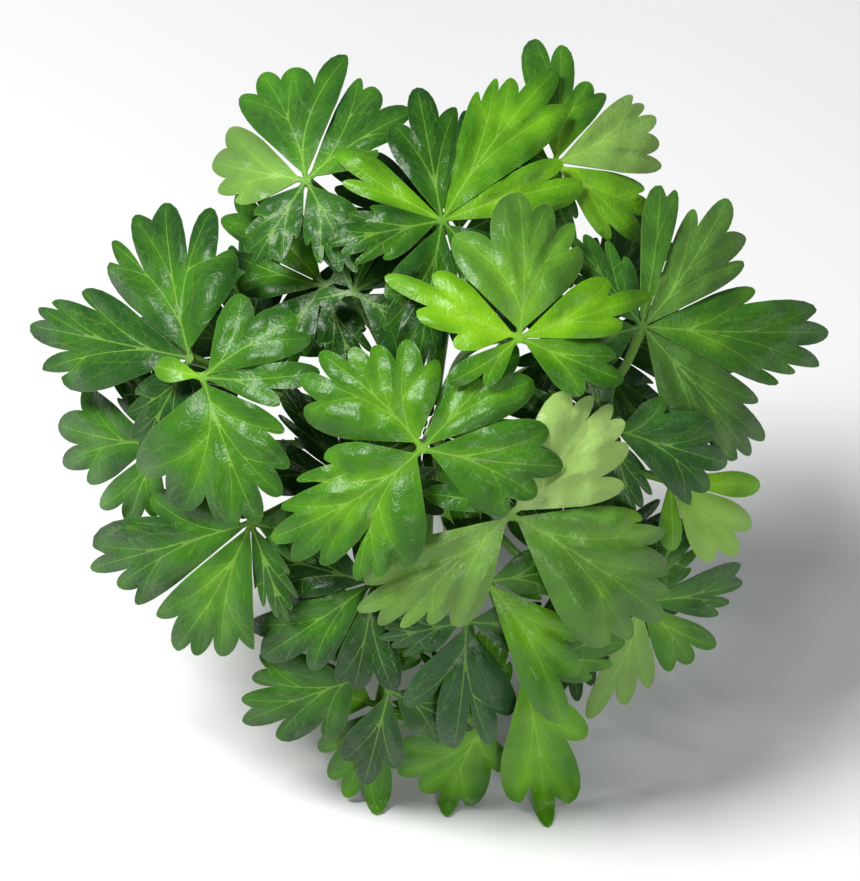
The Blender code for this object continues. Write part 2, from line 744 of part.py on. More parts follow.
def path_room(path, top, blades, laid):
    """The narrowest gap along a route between the stalk and what is already there."""
    room = 9.0
    for a, b in zip(path[3:], path[4:]):
        for share in (0.0, 0.33, 0.67):
            spot = a.lerp(b, share)
            radius = STALK_R_BAND + (STALK_R_HUB - STALK_R_BAND) * spot.z / top.z
            near = blades.find_nearest(spot)[3]
            room = min(room, near - radius)
            if len(laid):
                gaps = np.linalg.norm(laid[:, :3] - np.array(spot), axis=1) - laid[:, 3]
                room = min(room, float(gaps.min()) - radius)
    return room


def to_world(points):
    """From the crown's frame to the bunch lying down."""
    sin, cos = math.sin(TILT), math.cos(TILT)
    x, y, z = points[:, 0], points[:, 1], points[:, 2]
    return np.column_stack((x, sin * y - cos * z, cos * y + sin * z))


def band_solid(radius):
    """A flat rubber band with rounded edges, closed round the bundle."""
    half = BAND_WIDTH * 0.5
    section = [
        (0.0, -half + 0.4), (0.4, -half), (BAND_THICK - 0.4, -half), (BAND_THICK, -half + 0.6),
        (BAND_THICK, half - 0.6), (BAND_THICK - 0.4, half), (0.4, half), (0.0, half - 0.4),
    ]
    points, faces = [], []
    for n in range(BAND_STEPS):
        turn = 2.0 * math.pi * n / BAND_STEPS
        for out, z in section:
            points.append(((radius + out) * math.cos(turn), (radius + out) * math.sin(turn), z))
    count = len(section)
    for n in range(BAND_STEPS):
        for k in range(count):
            a, b = n * count + k, n * count + (k + 1) % count
            c, d = (a + count) % len(points), (b + count) % len(points)
            faces += [(a, c, d), (a, d, b)]
    return np.array(points), faces


def add_object(name, points, faces, material):
    mesh = bpy.data.meshes.new(name)
    mesh.from_pydata([tuple(p * MM) for p in points], [], faces)
    work = bmesh.new()
    work.from_mesh(mesh)
    bmesh.ops.recalc_face_normals(work, faces=work.faces)
    work.to_mesh(mesh)
    work.free()
    item = bpy.data.objects.new(name, mesh)
    item.data.materials.append(material)
    bpy.context.scene.collection.objects.link(item)
    return item


def make_material(name, colour, roughness):
    material = bpy.data.materials.new(name)
    material.use_nodes = True
    shader = material.node_tree.nodes["Principled BSDF"]
    shader.inputs["Base Color"].default_value = (*colour, 1.0)
    shader.inputs["Roughness"].default_value = roughness
    shader.inputs["Metallic"].default_value = 0.0
    return material


def build_leaves():
    """Every leaf's solid and its hub's place, from the lowest leaf to the highest."""
    pile = Pile()
    built = []
    for number, leaf in enumerate(LEAVES):
        leaflets = leaflets_of(leaf, number)
        raised = pile.lay(leaf, leaflets)
        points, faces = leaf_sheet(leaf, leaflets, pile, raised)
        faces = upward(points, faces)
        hub = Vector(points[len(hub_ring(leaf, leaflets))])
        solid, skin = thicken(points, faces, LEAF_THICK)
        built.append((solid, skin, hub))
    return built


def build_stalks(leaves):
    """A stalk for each leaf, routed between the leaves below it."""
    hubs = [hub for _, _, hub in leaves]
    slots = match_slots(hubs, stalk_slots(len(hubs)))
    laid = np.zeros((0, 4))
    stalks = [None] * len(hubs)
    for index in sorted(range(len(hubs)), key=lambda i: hubs[i].xy.length):
        hub = hubs[index]
        lean = min(1.3 * (hub.xy - Vector(slots[index])).length / hub.z, 1.0)
        drop = LEAF_THICK + HUB_CLEAR + STALK_R_HUB * lean
        top = Vector((hub.x, hub.y, hub.z - drop))
        others = [leaves[i] for i in range(len(leaves)) if i != index]
        path = clear_path(slots[index], top, joined_tree(others), laid)
        radius = stalk_radius(top.z)
        stalks[index] = tube(path, radius, STALK_SIDES)
        beads = []
        for a, b in zip(path[3:], path[4:]):
            for share in np.arange(0.0, 1.0, 0.2):
                spot = a.lerp(b, share)
                beads.append((*spot, radius(spot.z, 0)))
        laid = np.vstack((laid, np.array(beads)))
    return stalks


def joined_tree(leaves):
    points, faces = [], []
    for solid, skin, _ in leaves:
        start = len(points)
        points += [tuple(p) for p in solid]
        faces += [tuple(i + start for i in face) for face in skin]
    return BVHTree.FromPolygons(points, faces)


def main():
    for item in list(bpy.data.objects):
        bpy.data.objects.remove(item, do_unlink=True)
    leaves = build_leaves()
    stalks = build_stalks(leaves)
    bundle = max(math.hypot(*slot) for slot in stalk_slots(len(leaves)))
    bodies = [("tie_band", *band_solid(bundle + STALK_R_BAND + BAND_CLEAR))]
    for number, (solid, skin, _) in enumerate(leaves, 1):
        bodies.append((f"leaf_{number:02d}", solid, skin))
    for number, (points, faces) in enumerate(stalks, 1):
        bodies.append((f"stalk_{number:02d}", points, faces))
    world = [(name, to_world(points), faces) for name, points, faces in bodies]
    low = np.min([points.min(0) for _, points, _ in world], axis=0)
    high = np.max([points.max(0) for _, points, _ in world], axis=0)
    origin = np.array([(low[0] + high[0]) * 0.5, (low[1] + high[1]) * 0.5, low[2]])
    for name, points, faces in world:
        add_object(name, points - origin, faces, make_material(name, *SURFACES[name.split("_")[0]]))


main()
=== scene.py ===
"""Looks of the parsley bunch: fine leaf blades with veins, grooved stalks and the rubber band.

The crown is worked out in its own frame, in millimetres, the way the CAD part lays it out: the
band's centre is the origin and +Z runs up the bundle and out through the face of the crown.
"""

import math
from collections import namedtuple

import bpy
import numpy as np
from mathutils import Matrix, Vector, geometry


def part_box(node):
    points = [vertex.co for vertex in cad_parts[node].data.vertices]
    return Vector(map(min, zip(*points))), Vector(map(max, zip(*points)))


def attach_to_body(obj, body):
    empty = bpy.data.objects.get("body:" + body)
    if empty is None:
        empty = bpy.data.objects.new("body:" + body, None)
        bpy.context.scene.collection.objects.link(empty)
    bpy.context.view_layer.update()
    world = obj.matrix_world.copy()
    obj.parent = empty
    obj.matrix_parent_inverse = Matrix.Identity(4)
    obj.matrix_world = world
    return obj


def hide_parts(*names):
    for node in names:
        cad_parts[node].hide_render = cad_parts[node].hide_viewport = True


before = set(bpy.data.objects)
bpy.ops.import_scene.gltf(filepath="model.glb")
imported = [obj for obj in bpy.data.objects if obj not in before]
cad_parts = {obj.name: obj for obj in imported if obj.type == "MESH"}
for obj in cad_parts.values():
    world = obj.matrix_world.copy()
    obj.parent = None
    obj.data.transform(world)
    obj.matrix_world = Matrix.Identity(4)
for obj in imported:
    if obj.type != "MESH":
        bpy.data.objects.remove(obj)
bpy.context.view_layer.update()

MM = 0.001
# How finely leaves are divided. A tooth's steps run from -1 at one notch to 1 at the next, crowded at
# the notches. The rest is in millimetres: the steps of the sheet, the main and the side veins, the
# gap from a vein to the points beside it, and how far out the hub's own edge is.
TOOTH_STEPS = tuple(math.sin(math.pi * 0.5 * t) for t in np.linspace(-1.0, 1.0, 13)[:-1])
FLANK_STEPS = 12
MESH_STEP = 1.5
VEIN_STEP = 1.3
SIDE_STEP = 1.15
BESIDE = 0.5
HUB_EDGE = 1.15
# A blade's thickness, and how far it rises between its main veins and its side veins, swells here
# and there, and turns down at its rim and its tip.
BLADE_THICK = 0.36
PUFF = 1.5
SIDE_PUFF = 0.14
SWELL = 0.5
RIM_CURL = 0.8
TIP_DROOP = 1.6
# A stalk's fine mesh: its sides, the share of its radius and the height of each ring of its hollowed
# cut face, and the height and share of each ring of its rounded top.
STEM_SIDES = 18
CUT_FACE = ((0.42, 0.3), (0.62, 0.06), (0.9, 0.0))
TOP_ROUND = ((0.35, 0.85), (0.6, 0.5))
# The rubber band's turns, the sides of one turn's section, and the steps around it.
BAND_TURNS = 3
BAND_SIDES = 12
BAND_STEPS = 120
# Half-widths of the veins where they start and where they end.
MIDRIB = (0.3, 0.08)
LOBE_VEIN = (0.2, 0.06)
TOOTH_VEIN = (0.12, 0.05)
SIDE_VEIN = (0.085, 0.04)

# The studio, in metres and watts: each light's place, size, power and colour, and where all point.
FLOOR_HALF = 4
FLOOR_GREY = (0.64, 0.64, 0.64)
SKY_COLOUR = (0.93, 0.97, 1.0)
SKY_STRENGTH = 0.14
LIT_SPOT = (0.0, -0.02, 0.08)
LIGHTS = (
    ("key", (-0.68, -0.1, 1.18), 0.6, 30.0, (1.0, 1.0, 0.99)),
    ("fill", (1.0, -0.3, 0.9), 0.4, 3.0, (0.92, 0.97, 1.0)),
    ("front", (0.3, -1.2, 0.42), 0.3, 6.5, (1.0, 1.0, 0.98)),
)
# The camera: what it aims at, how far off it stands, and how wide its view is at that distance.
CAMERA_AIM = (0.0004, -0.0034, 0.0710)
CAMERA_AWAY = 0.95
VIEW_WIDE = 0.2305

# The crown's driving sizes, as in the CAD part: a dome that falls off with the square of the distance
# from its middle, and the grid on which the leaves are laid and pushed clear of each other.
DOME_TOP = 94.0
DOME_FALL = 0.0055
LEAF_THICK = 0.6
LEAF_CLEAR = 0.8
GRID_STEP = 1.5
GRID_HALF = 117.0
PUSH_REACH = 13.0
# The bunch lies tilted. It rests on its cut ends, which reach a little below its axis, and its leaves
# ease off the floor.
TILT = math.radians(39.0)
CROWN_AXES = np.array((
    (1.0, 0.0, 0.0), (0.0, math.sin(TILT), math.cos(TILT)), (0.0, -math.cos(TILT), math.sin(TILT)),
))
CUT_Z = -68.0
CUT_END_DROP = 17.0
FLOOR_SOFT = 7.0
STALK_R_CUT = 1.7
STALK_R_BAND = 1.6
STALK_R_HUB = 1.1
STALK_SIDES = 6
BAND_WIDTH = 7.0
# A leaf's hub, and where its leaflets join it: the angles that each one needs and keeps clear.
HUB_R = 2.6
STALKLET_HALF = 0.8
ATTACH_ROOM = math.radians(42.0)
SECTOR_GAP = math.radians(0.5)
# A blade's height at its tip, rising and then drooping, and how far its halves fold up, as shares
# of its length; how far out its flanks end, as a share of the end tooth; how its halves cup down,
# for each square millimetre; and how high a lobe domes.
RISE = 0.12
DROOP = 0.25
FOLD = 0.12
SHOULDER = 0.62
CUP = 0.02
LOBE_DOME = 3.2

# A leaflet's lobes each list their tooth tips. Cleft is how far in the notches between lobes reach,
# as a share of the radius, and flare is how far its flanks stand outside the end teeth, in degrees.
Blade = namedtuple("Blade", "lobes cleft flare")
Leaf = namedtuple("Leaf", "hub tier tones cool blades")
Tooth = namedtuple("Tooth", "angle radius notch_before notch_after start end lobe")


def blade(*lobes, cleft=0.8, flare=12.0):
    return Blade(lobes, cleft, flare)


# The teeth of a plain leaflet, lobe by lobe: angle over its half-angle, and radius over its length.
FAN_LOBES = (
    ((-1.0, 0.62), (-0.7, 0.8)),
    ((-0.26, 0.93), (0.03, 1.0), (0.3, 0.9)),
    ((0.72, 0.83), (1.0, 0.6)),
)


def fan(hub, heading, length, width, flare=9.0):
    """A three-lobed leaflet of a plain shape, for leaves that are mostly hidden."""
    half = math.degrees(math.atan2(width * 0.5, length * 0.66))
    lobes = []
    for lobe in FAN_LOBES:
        turned = [(math.radians(heading + half * a), length * r) for a, r in lobe]
        lobes.append(tuple((hub[0] + r * math.cos(a), hub[1] + r * math.sin(a)) for a, r in turned))
    return blade(*lobes, flare=flare)


def leaf(hub, tier, tones, cool, *parts):
    """A leaf from its leaflets: drawn ones, and plain ones given as heading, length and width.

    From 0 to 1, tones say how bright each leaflet is, or all of them, and the next argument how far the
    leaf is tinted blue-grey by a painted sheen of reflected light. A pair among the tones adds how far
    that leaflet fades to a pale sage green, partly its own colour and partly a painted highlight.
    """
    tones = tones if isinstance(tones, list) else [tones] * len(parts)
    tones = [tone if isinstance(tone, tuple) else (tone, 0.0) for tone in tones]
    blades = [part if isinstance(part, Blade) else fan(hub, *part) for part in parts]
    return Leaf(hub, tier, tones, cool, blades)


# The crown, from its lowest leaf to its highest: each leaf's hub, its height above or below the
# crown's dome, its tones and its painted blue-grey sheen, and its leaflets by the tips of their teeth.
LEAVES = [
    # Lower leaves that show from the sides.
    leaf((-46, 21), -40, 0.22, 0.15, (155, 38, 26), (96, 34, 22), (213, 34, 22), (30, 38, 24)),
    leaf((42, 25), -40, 0.25, 0.15, (-4, 46, 26), (62, 46, 24), (-58, 36, 22), (222, 26, 22)),
    leaf((8, 52), -38, 0.22, 0.15, (86, 36, 24), (150, 40, 24), (29, 34, 20), (-42, 40, 26)),
    leaf(
        (36, -36), -38, 0.22, 0.2,
        (-29, 38, 22), (-84, 37, 24), (19, 38, 21), (67, 38, 21), (117, 33, 18),
    ),
    # Deep leaves seen in the gaps between the upper ones.
    # This leaf's very dark tone is painted shade, for a leaf that lies in shadow in the gaps.
    leaf(
        (-20, -13), -20, 0.12, 0.1,
        (80, 28, 14), (125, 31, 12), (166, 34, 15), (245, 40, 20), (290, 26, 14), (-10, 27, 18),
    ),
    leaf(
        (-27, 38), -19, [0.42, 0.36, 0.2, 0.2, 0.15], 0.1,
        blade(((-55, 57), (-51, 64)), ((-47, 66), (-38, 60))),
        blade(((-52, 47), (-50, 39)), flare=15),
        (28, 24, 14), (233, 32, 17), (290, 26, 14),
    ),
    leaf(
        (-19, 36), -11, [0.22, 0.25, 0.2, 0.2, 0.2], 0.35,
        blade(((1, 52),), ((8, 45),), flare=12),
        blade(((2, 31),), ((-1, 24), (-7, 19)), flare=10),
        blade(((-15, 53), (-11, 57)), flare=10),
        blade(((-31, 57),), flare=14),
        blade(((-29, 34),), flare=22),
    ),
    # Lower rim.
    leaf(
        (-13, -71), -8, 0.55, 0.05,
        blade(((-29, -84),), ((-26, -92), (-22, -97)), ((-14, -101),), cleft=0.79),
        (160, 22, 16),
    ),
    leaf(
        (16, -75), -6, 0.5, 0.1,
        blade(((-9, -81), (-8, -90)), ((-2, -95),), ((4.5, -101.5), (10, -99)), ((20, -90),), cleft=0.86),
        (92, 27, 12), (134, 26, 13), (172, 28, 10),
    ),
    leaf(
        (55, -44), -9, [0.3, 0.5, (0.5, 0.35), 0.3, 0.3, 0.25], 0.35,
        blade(((83, -35), (84, -40)), ((80, -45), (77, -48)), flare=6),
        blade(((76.5, -57),), ((70, -61), (64, -63))),
        blade(((58, -67.5),), ((51.5, -72),), ((42, -75.5),), cleft=0.79),
        (60, 26, 18), (152, 30, 22), (212, 30, 16),
    ),
    leaf(
        (-70, -3), -10, [0.35, 0.42, 0.25, 0.25], 0.2,
        blade(((-92, 12), (-99.5, 2)), ((-98.5, -8), (-91, -13)), flare=9),
        blade(((-87, -20),), ((-79, -24), (-72, -22))),
        (320, 30, 20), (109, 28, 17),
    ),
    leaf(
        (-17, -63), -3, 0.34, 0.05,
        blade(((-44, -58), (-46, -64)), ((-49, -70), (-49, -76)), ((-40, -80),), ((-27, -80),)),
        (112, 28, 20), (45, 26, 16),
    ),
    # Upper rim.
    leaf(
        (-31.5, 65), 0, [0.44, 0.42, (0.48, 0.25), 0.3, 0.25], 0.25,
        blade(((-22, 101),), ((-36, 97), (-44, 96), (-50, 90)), cleft=0.83),
        blade(((-18, 94), (-14, 91)), ((-4, 84), (-5, 79)), ((-13, 73),), cleft=0.85),
        blade(((-53, 81),), ((-57, 71),), ((-55, 63), (-50, 60)), cleft=0.9),
        (298, 28, 18), (238, 26, 15),
    ),
    leaf(
        (33, 70), -6, [0.5, (0.52, 0.4), 0.72, 0.3, 0.3, 0.3], 0.2,
        blade(((29, 107),), ((36, 105),), ((43, 94), (47.5, 91)), cleft=0.83),
        blade(((55, 91), (58, 88.5)), ((61, 85), (61.5, 77.5)), ((62, 71),), cleft=0.86),
        blade(((57, 64), (59, 59)), ((55, 50),), ((47, 50),), cleft=0.83),
        (266, 26, 15), (214, 26, 15), (157, 22, 14),
    ),
    leaf(
        (3.5, 54), -3, [0.56, 0.3, 0.68, 0.6, 0.3, 0.25, 0.3], 0.08,
        blade(((13, 90), (18, 94)), ((22, 94), (34, 97)), ((36, 86),), cleft=0.91),
        blade(((7, 85),), ((-3, 90.5),), ((-9, 80),), cleft=0.89),
        blade(((35, 70),), ((40, 65),), flare=13),
        blade(((-24, 72),), ((-22, 64),), flare=12),
        (192, 30, 16), (260, 40, 24), (311, 28, 17),
    ),
    # The middle of the crown, from its lower leaves up.
    leaf(
        (-10, -66), -1, 0.22, 0.2,
        blade(((-22, -86),), ((-17, -93),), ((-9, -88),), cleft=0.89), (-28, 24, 18),
    ),
    leaf(
        (-14, -38), -6, [0.3, 0.2, 0.15], 0.15,
        blade(((-47, -50), (-43, -58)), ((-30, -61),), cleft=0.84),
        blade(((-23, -64), (-19, -66)), ((-9, -66),), cleft=0.78, flare=10),
        (165, 32, 20),
    ),
    leaf(
        (9.5, -48), -3, [0.14, 0.2, 0.15], 0.75,
        blade(((-6, -70),), ((6.5, -82),), ((16, -81), (21, -73)), cleft=0.55),
        (355, 24, 15), (190, 22, 14),
    ),
    leaf(
        (62, -12), -2, [0.74, (0.7, 0.4), 0.66, 0.4], 0.0,
        blade(((87, -14),), flare=12),
        blade(((84.5, -25),), ((81, -32), (74, -33.5)), cleft=0.83),
        blade(((63, -30.5),), flare=18),
        (108, 22, 14),
    ),
    leaf(
        (-45, -23), 0, [0.36, 0.44, 0.28, 0.26], 0.1,
        blade(((-72, -17),), ((-89, -30), (-90, -36)), ((-82, -40), (-77, -45)), cleft=0.88),
        blade(((-71, -48),), ((-66, -57), (-61, -58)), ((-54, -58), (-45, -56)), cleft=0.87),
        (349, 24, 17), (290, 27, 11),
    ),
    leaf(
        (-61, 19), 0, [0.34, 0.3, 0.2], 0.15,
        blade(((-84.5, 45), (-84, 51)), ((-78, 58), (-70, 61)), ((-57, 59), (-51, 47)), cleft=0.66),
        blade(
            ((-92, 37.5),), ((-101, 35), (-105, 33.5), (-107.5, 29)), ((-103, 17), (-97, 14.5)),
            cleft=0.81,
        ),
        (240, 28, 20),
    ),
    leaf(
        (54.5, 27), 2, [(0.44, 0.04), (0.42, 0.12), 0.46, (0.38, 0.06), 0.34, 0.34], 0.3,
        blade(((61, 65), (65, 64)), flare=9),
        blade(((70, 59),), ((80, 62.5), (84, 52)), ((83, 45),), cleft=0.88),
        blade(((86, 37.5),), ((104, 33), (107.5, 27)), ((104.5, 18), (97, 16)), ((92, 13),), cleft=0.85),
        blade(((86, 8),), ((88, -2),), ((84, -6), (80, -7)), ((70, -7),), cleft=0.9),
        (128, 30, 18), (195, 28, 20),
    ),
    leaf(
        (24, -61), 0, [0.64, 0.4], 0.0,
        blade(((24, -98),), ((31.5, -104), (37.5, -98.5)), ((41, -80),), cleft=0.87),
        (22, 30, 22),
    ),
    leaf(
        (46, 1), 4, [0.3, 0.22, 0.22, 0.22, 0.2], 0.45,
        blade(((60, 8),), ((74, 0), (77, -8)), ((72, -14.5), (67, -18.5)), cleft=0.87),
        (118, 26, 15), (166, 30, 12), (221, 28, 20), (284, 24, 15),
    ),
    leaf(
        (14.5, -37.5), 3, [0.6, 0.4, 0.4], 0.05,
        blade(((39.5, -52),), ((38.5, -62),), ((35, -75),), cleft=0.85, flare=10),
        (8, 24, 15), (107, 24, 14),
    ),
    leaf(
        (-57, 14), 7, [0.42, 0.4, 0.42, 0.7], 0.15,
        blade(((-47, 35),), ((-33, 29), (-29.5, 24)), cleft=0.85),
        blade(((-27, 15),), ((-37, 7),), flare=10),
        blade(
            ((-74, -11), (-62, -20)), ((-49, -24), (-43, -23)), ((-37, -16), (-35, -9)), ((-36, 0),),
            cleft=0.85,
        ),
        blade(((-70, 17),), flare=22),
    ),
    leaf(
        (20.5, -20.5), 7, [(0.48, 0.26), 0.38, (0.5, 0.7), (0.52, 0.1)], 0.1,
        blade(
            ((-16, -38),), ((-18, -45), (-12.5, -48.5)), ((-7, -49), (0, -48)), ((6, -48.5),),
            cleft=0.88,
        ),
        blade(((-1, -15),), ((3, -8),), flare=10),
        blade(((35, 10), (41, 9)), ((46, 7), (49, 3), (50, -3)), ((49, -13),), cleft=0.82),
        blade(
            ((54, -22), (60.5, -25)), ((61.5, -36), (62, -42), (61, -48)), ((52, -53), (46, -54)),
            cleft=0.87,
        ),
    ),
    leaf(
        (-1.5, -4), 9, [0.56, 0.46, 0.46, 0.5], 0.15,
        blade(((-31, 6), (-32, 14)), ((-27, 20), (-19, 21), (-13.5, 21.5)), ((-5.5, 23), (2, 18))),
        blade(((8, 17),), ((22, 22),), ((26, 13),), cleft=0.91),
        blade(((30, 0),), ((33.5, -8.5),), ((27, -15.5), (20, -20)), cleft=0.91),
        blade(
            ((-26, -6.5), (-33, -12)),
            ((-37, -19), (-39.5, -27), (-34, -32), (-27, -33)),
            ((-18, -37), (-13, -36), (-6, -33.5)),
            cleft=0.58,
        ),
    ),
    leaf(
        (22.5, 23.5), 9, [(0.5, 0.1), 0.68, 0.66, 0.48, 0.42], 0.0,
        blade(((38, 47), (37, 53)), ((30, 58), (23, 61)), ((7, 50),), cleft=0.82),
        blade(((1, 39.5),), ((-11, 39),), ((-3, 30),), ((6, 22),), cleft=0.9),
        blade(((46, 38),), ((57, 35),), ((49, 27.5),), cleft=0.9),
        blade(((47, 19),), ((49, 13),), ((38.5, 9.5),), cleft=0.91),
        blade(((5, 12),), ((14, 11.5),), cleft=0.83),
    ),
]


def round_pairs(items):
    """Each item with the one after it, and the last with the first."""
    return zip(items, items[1:] + items[:1])


def wrap(angle):
    return (angle + math.pi) % math.tau - math.pi


def polar(hub, point):
    dx, dy = point[0] - hub[0], point[1] - hub[1]
    return math.atan2(dy, dx), math.hypot(dx, dy)


def heading_of(hub, form):
    tips = [polar(hub, tip) for lobe in form.lobes for tip in lobe]
    return math.atan2(sum(r * math.sin(a) for a, r in tips), sum(r * math.cos(a) for a, r in tips))


def teeth_of(hub, form, heading, flares):
    """The teeth of one leaflet, right to left, as angles from its heading and radii from its hub."""
    places = [(*polar(hub, tip), number) for number, lobe in enumerate(form.lobes) for tip in lobe]
    tips = sorted((wrap(angle - heading), radius, number) for angle, radius, number in places)
    # Lobes are parted by deep notches, and the teeth within a lobe by shallow ones.
    notches = []
    for (a0, r0, lobe0), (a1, r1, lobe1) in zip(tips, tips[1:]):
        low = min(r0, r1)
        depth = form.cleft if lobe0 != lobe1 else 0.94 - 0.14 * min(a1 - a0, 0.6)
        split = 0.5 + 0.12 * (r0 - r1) / low
        notches.append((a0 + (a1 - a0) * split, low * depth))
    first = (tips[0][0] - flares[0], tips[0][1] * SHOULDER)
    last = (tips[-1][0] + flares[1], tips[-1][1] * SHOULDER)
    edges = [first] + notches + [last]
    return [
        Tooth(angle, radius, before[1], after[1], before[0], after[0], lobe)
        for (angle, radius, lobe), before, after in zip(tips, edges, edges[1:])
    ]


def edge_of(tooth, step):
    """A point of one tooth's edge as angle and radius; step is -1 and 1 at its notches, 0 at its tip."""
    side = tooth.notch_before if step < 0 else tooth.notch_after
    middle = 0.5 * (tooth.notch_before + tooth.notch_after)
    floor = middle + (side - middle) * abs(step)
    reach = tooth.angle - tooth.start if step < 0 else tooth.end - tooth.angle
    radius = floor + (tooth.radius - floor) * max(0.0, 1.0 - step * step) ** 0.72
    return tooth.angle + step * reach, radius


def curve(start, bend, end, count):
    """Points along a curve from start to end that is pulled towards bend."""
    start, bend, end = (np.array(p, float) for p in (start, bend, end))
    t = np.linspace(0.0, 1.0, count)[:, None]
    return (1 - t) ** 2 * start + 2 * t * (1 - t) * bend + t * t * end


def flank(base, shoulder):
    """The curve from the leaflet's stalk up to its first tooth, without either end."""
    middle = (base[0] * 0.48 + shoulder[0] * 0.52, base[1] + (shoulder[1] - base[1]) * 0.5)
    return [tuple(point) for point in curve(base, middle, shoulder, FLANK_STEPS + 2)[1:-1]]


class Leaflet:
    """One leaflet in its leaf: its outline in its own (across, along) plan, and its height."""

    def __init__(self, hub, form, heading, attach, flares, seed):
        self.hub, self.heading = hub, heading
        self.teeth = teeth_of(hub, form, heading, flares)
        self.length = max(tooth.radius for tooth in self.teeth)
        self.seed = seed
        spread = math.asin(STALKLET_HALF / HUB_R)
        self.base = [self.place(attach - heading + side * spread, HUB_R) for side in (-1, 1)]
        self.foot = tuple((a + b) * 0.5 for a, b in zip(*self.base))
        self.spans = []
        for number in sorted({tooth.lobe for tooth in self.teeth}):
            ends = [a for tooth in self.teeth if tooth.lobe == number for a in (tooth.start, tooth.end)]
            self.spans.append((0.5 * (min(ends) + max(ends)), 0.5 * (max(ends) - min(ends))))

    @staticmethod
    def place(angle, radius):
        return (-radius * math.sin(angle), radius * math.cos(angle))

    def outline(self):
        points = []
        for tooth in self.teeth:
            points += [self.place(*edge_of(tooth, step)) for step in TOOTH_STEPS]
        points.append(self.place(self.teeth[-1].end, self.teeth[-1].notch_after))
        up, down = flank(self.base[0], points[0]), flank(self.base[1], points[-1])
        return [self.base[0]] + up + points + down[::-1] + [self.base[1]]

    def to_crown(self, across, along):
        """From the leaflet's plan to the crown's plan; a positive angle is to its left."""
        cos, sin = math.cos(self.heading), math.sin(self.heading)
        return self.hub[0] + along * cos + across * sin, self.hub[1] + along * sin - across * cos

    def foot_angle(self):
        """Where the leaflet meets the hub, as an angle about it."""
        x, y = self.to_crown(*self.foot)
        return math.atan2(y - self.hub[1], x - self.hub[0]) % math.tau

    def relief(self, across, along):
        """The leaflet's own height over the dome: arched, folded, rolled, each lobe a little domed."""
        reach = np.clip((np.hypot(across, along) - HUB_R) / self.length, 0.0, 1.2)
        ramp = np.clip(reach * 3.0, 0.0, 1.0)
        ramp = ramp * ramp * (3.0 - 2.0 * ramp)
        side = np.abs(across)
        droop = DROOP + 0.07 * math.sin(5.1 * self.seed)
        roll = math.radians(8.0 * math.sin(3.3 * self.seed))
        fold = FOLD + 0.07 * math.sin(2.2 * self.seed + 1.0)
        height = self.length * (RISE * reach - droop * reach**2.2)
        height = height + ramp * (math.tan(roll) * across + fold * side - CUP * side**2)
        around = np.arctan2(-across, along + 1e-6)
        for number, (middle, half) in enumerate(self.spans):
            within = np.clip((around - middle) / half, -1.0, 1.0)
            size = min(LOBE_DOME, 0.3 * half * self.length)
            size *= 0.75 + 0.45 * math.sin(6.1 * self.seed + 2.4 * number)
            height = height + size * reach**1.5 * 0.5 * (1.0 + np.cos(math.pi * within))
        for order, size in ((5.0, 0.9), (8.0, 0.8)):
            height = height + size * reach**2 * np.cos(order * around + 2.3 * self.seed * order)
        return height


def attach_angles(headings):
    """Where each leaflet meets the hub: at its heading, or moved over to leave its neighbour room."""
    spots = list(headings)
    order = sorted(range(len(spots)), key=lambda i: spots[i])
    for _ in range(60):
        for a, b in round_pairs(order):
            short = ATTACH_ROOM - (spots[b] - spots[a]) % math.tau
            if len(order) > 1 and short > 0:
                spots[a] -= short * 0.5
                spots[b] += short * 0.5
    return spots


def sector_flares(leaf, headings):
    """How far each leaflet's flanks may open before they reach the leaflets on either side."""
    ends = []
    for form, heading in zip(leaf.blades, headings):
        angles = [wrap(polar(leaf.hub, tip)[0] - heading) for lobe in form.lobes for tip in lobe]
        ends.append((heading + min(angles), heading + max(angles)))
    flares = []
    for i, (form, (first, last)) in enumerate(zip(leaf.blades, ends)):
        others = ends[:i] + ends[i + 1:]
        before = min([(first - other[1]) % math.tau for other in others], default=math.tau)
        after = min([(other[0] - last) % math.tau for other in others], default=math.tau)
        rooms = [max(0.5 * gap - SECTOR_GAP, 0.004) for gap in (before, after)]
        flares.append([min(math.radians(form.flare), room) for room in rooms])
    return flares


def leaflets_of(leaf, number):
    headings = [heading_of(leaf.hub, form) for form in leaf.blades]
    spots = attach_angles(headings)
    flares = sector_flares(leaf, headings)
    return [
        Leaflet(leaf.hub, form, heading, spot, pair, number + 0.37 * k)
        for k, (form, heading, spot, pair) in enumerate(zip(leaf.blades, headings, spots, flares))
    ]


def floor_height(y):
    """The floor's height in the crown's frame, once the bunch lies tilted on it."""
    lift = math.cos(TILT) * CUT_END_DROP - math.sin(TILT) * CUT_Z
    return (-lift - math.cos(TILT) * y) / math.sin(TILT)


def dome(x, y, tier):
    """The height of the crown's dome, at a leaf's own step above or below it."""
    return DOME_TOP - DOME_FALL * (x * x + y * y) + tier


def off_floor(height, y):
    """Keeps a height off the floor, easing it up where the two would meet."""
    floor = floor_height(y) + (LEAF_THICK + 0.1) / math.sin(TILT)
    return 0.5 * (height + floor + np.sqrt((height - floor) ** 2 + FLOOR_SOFT**2))


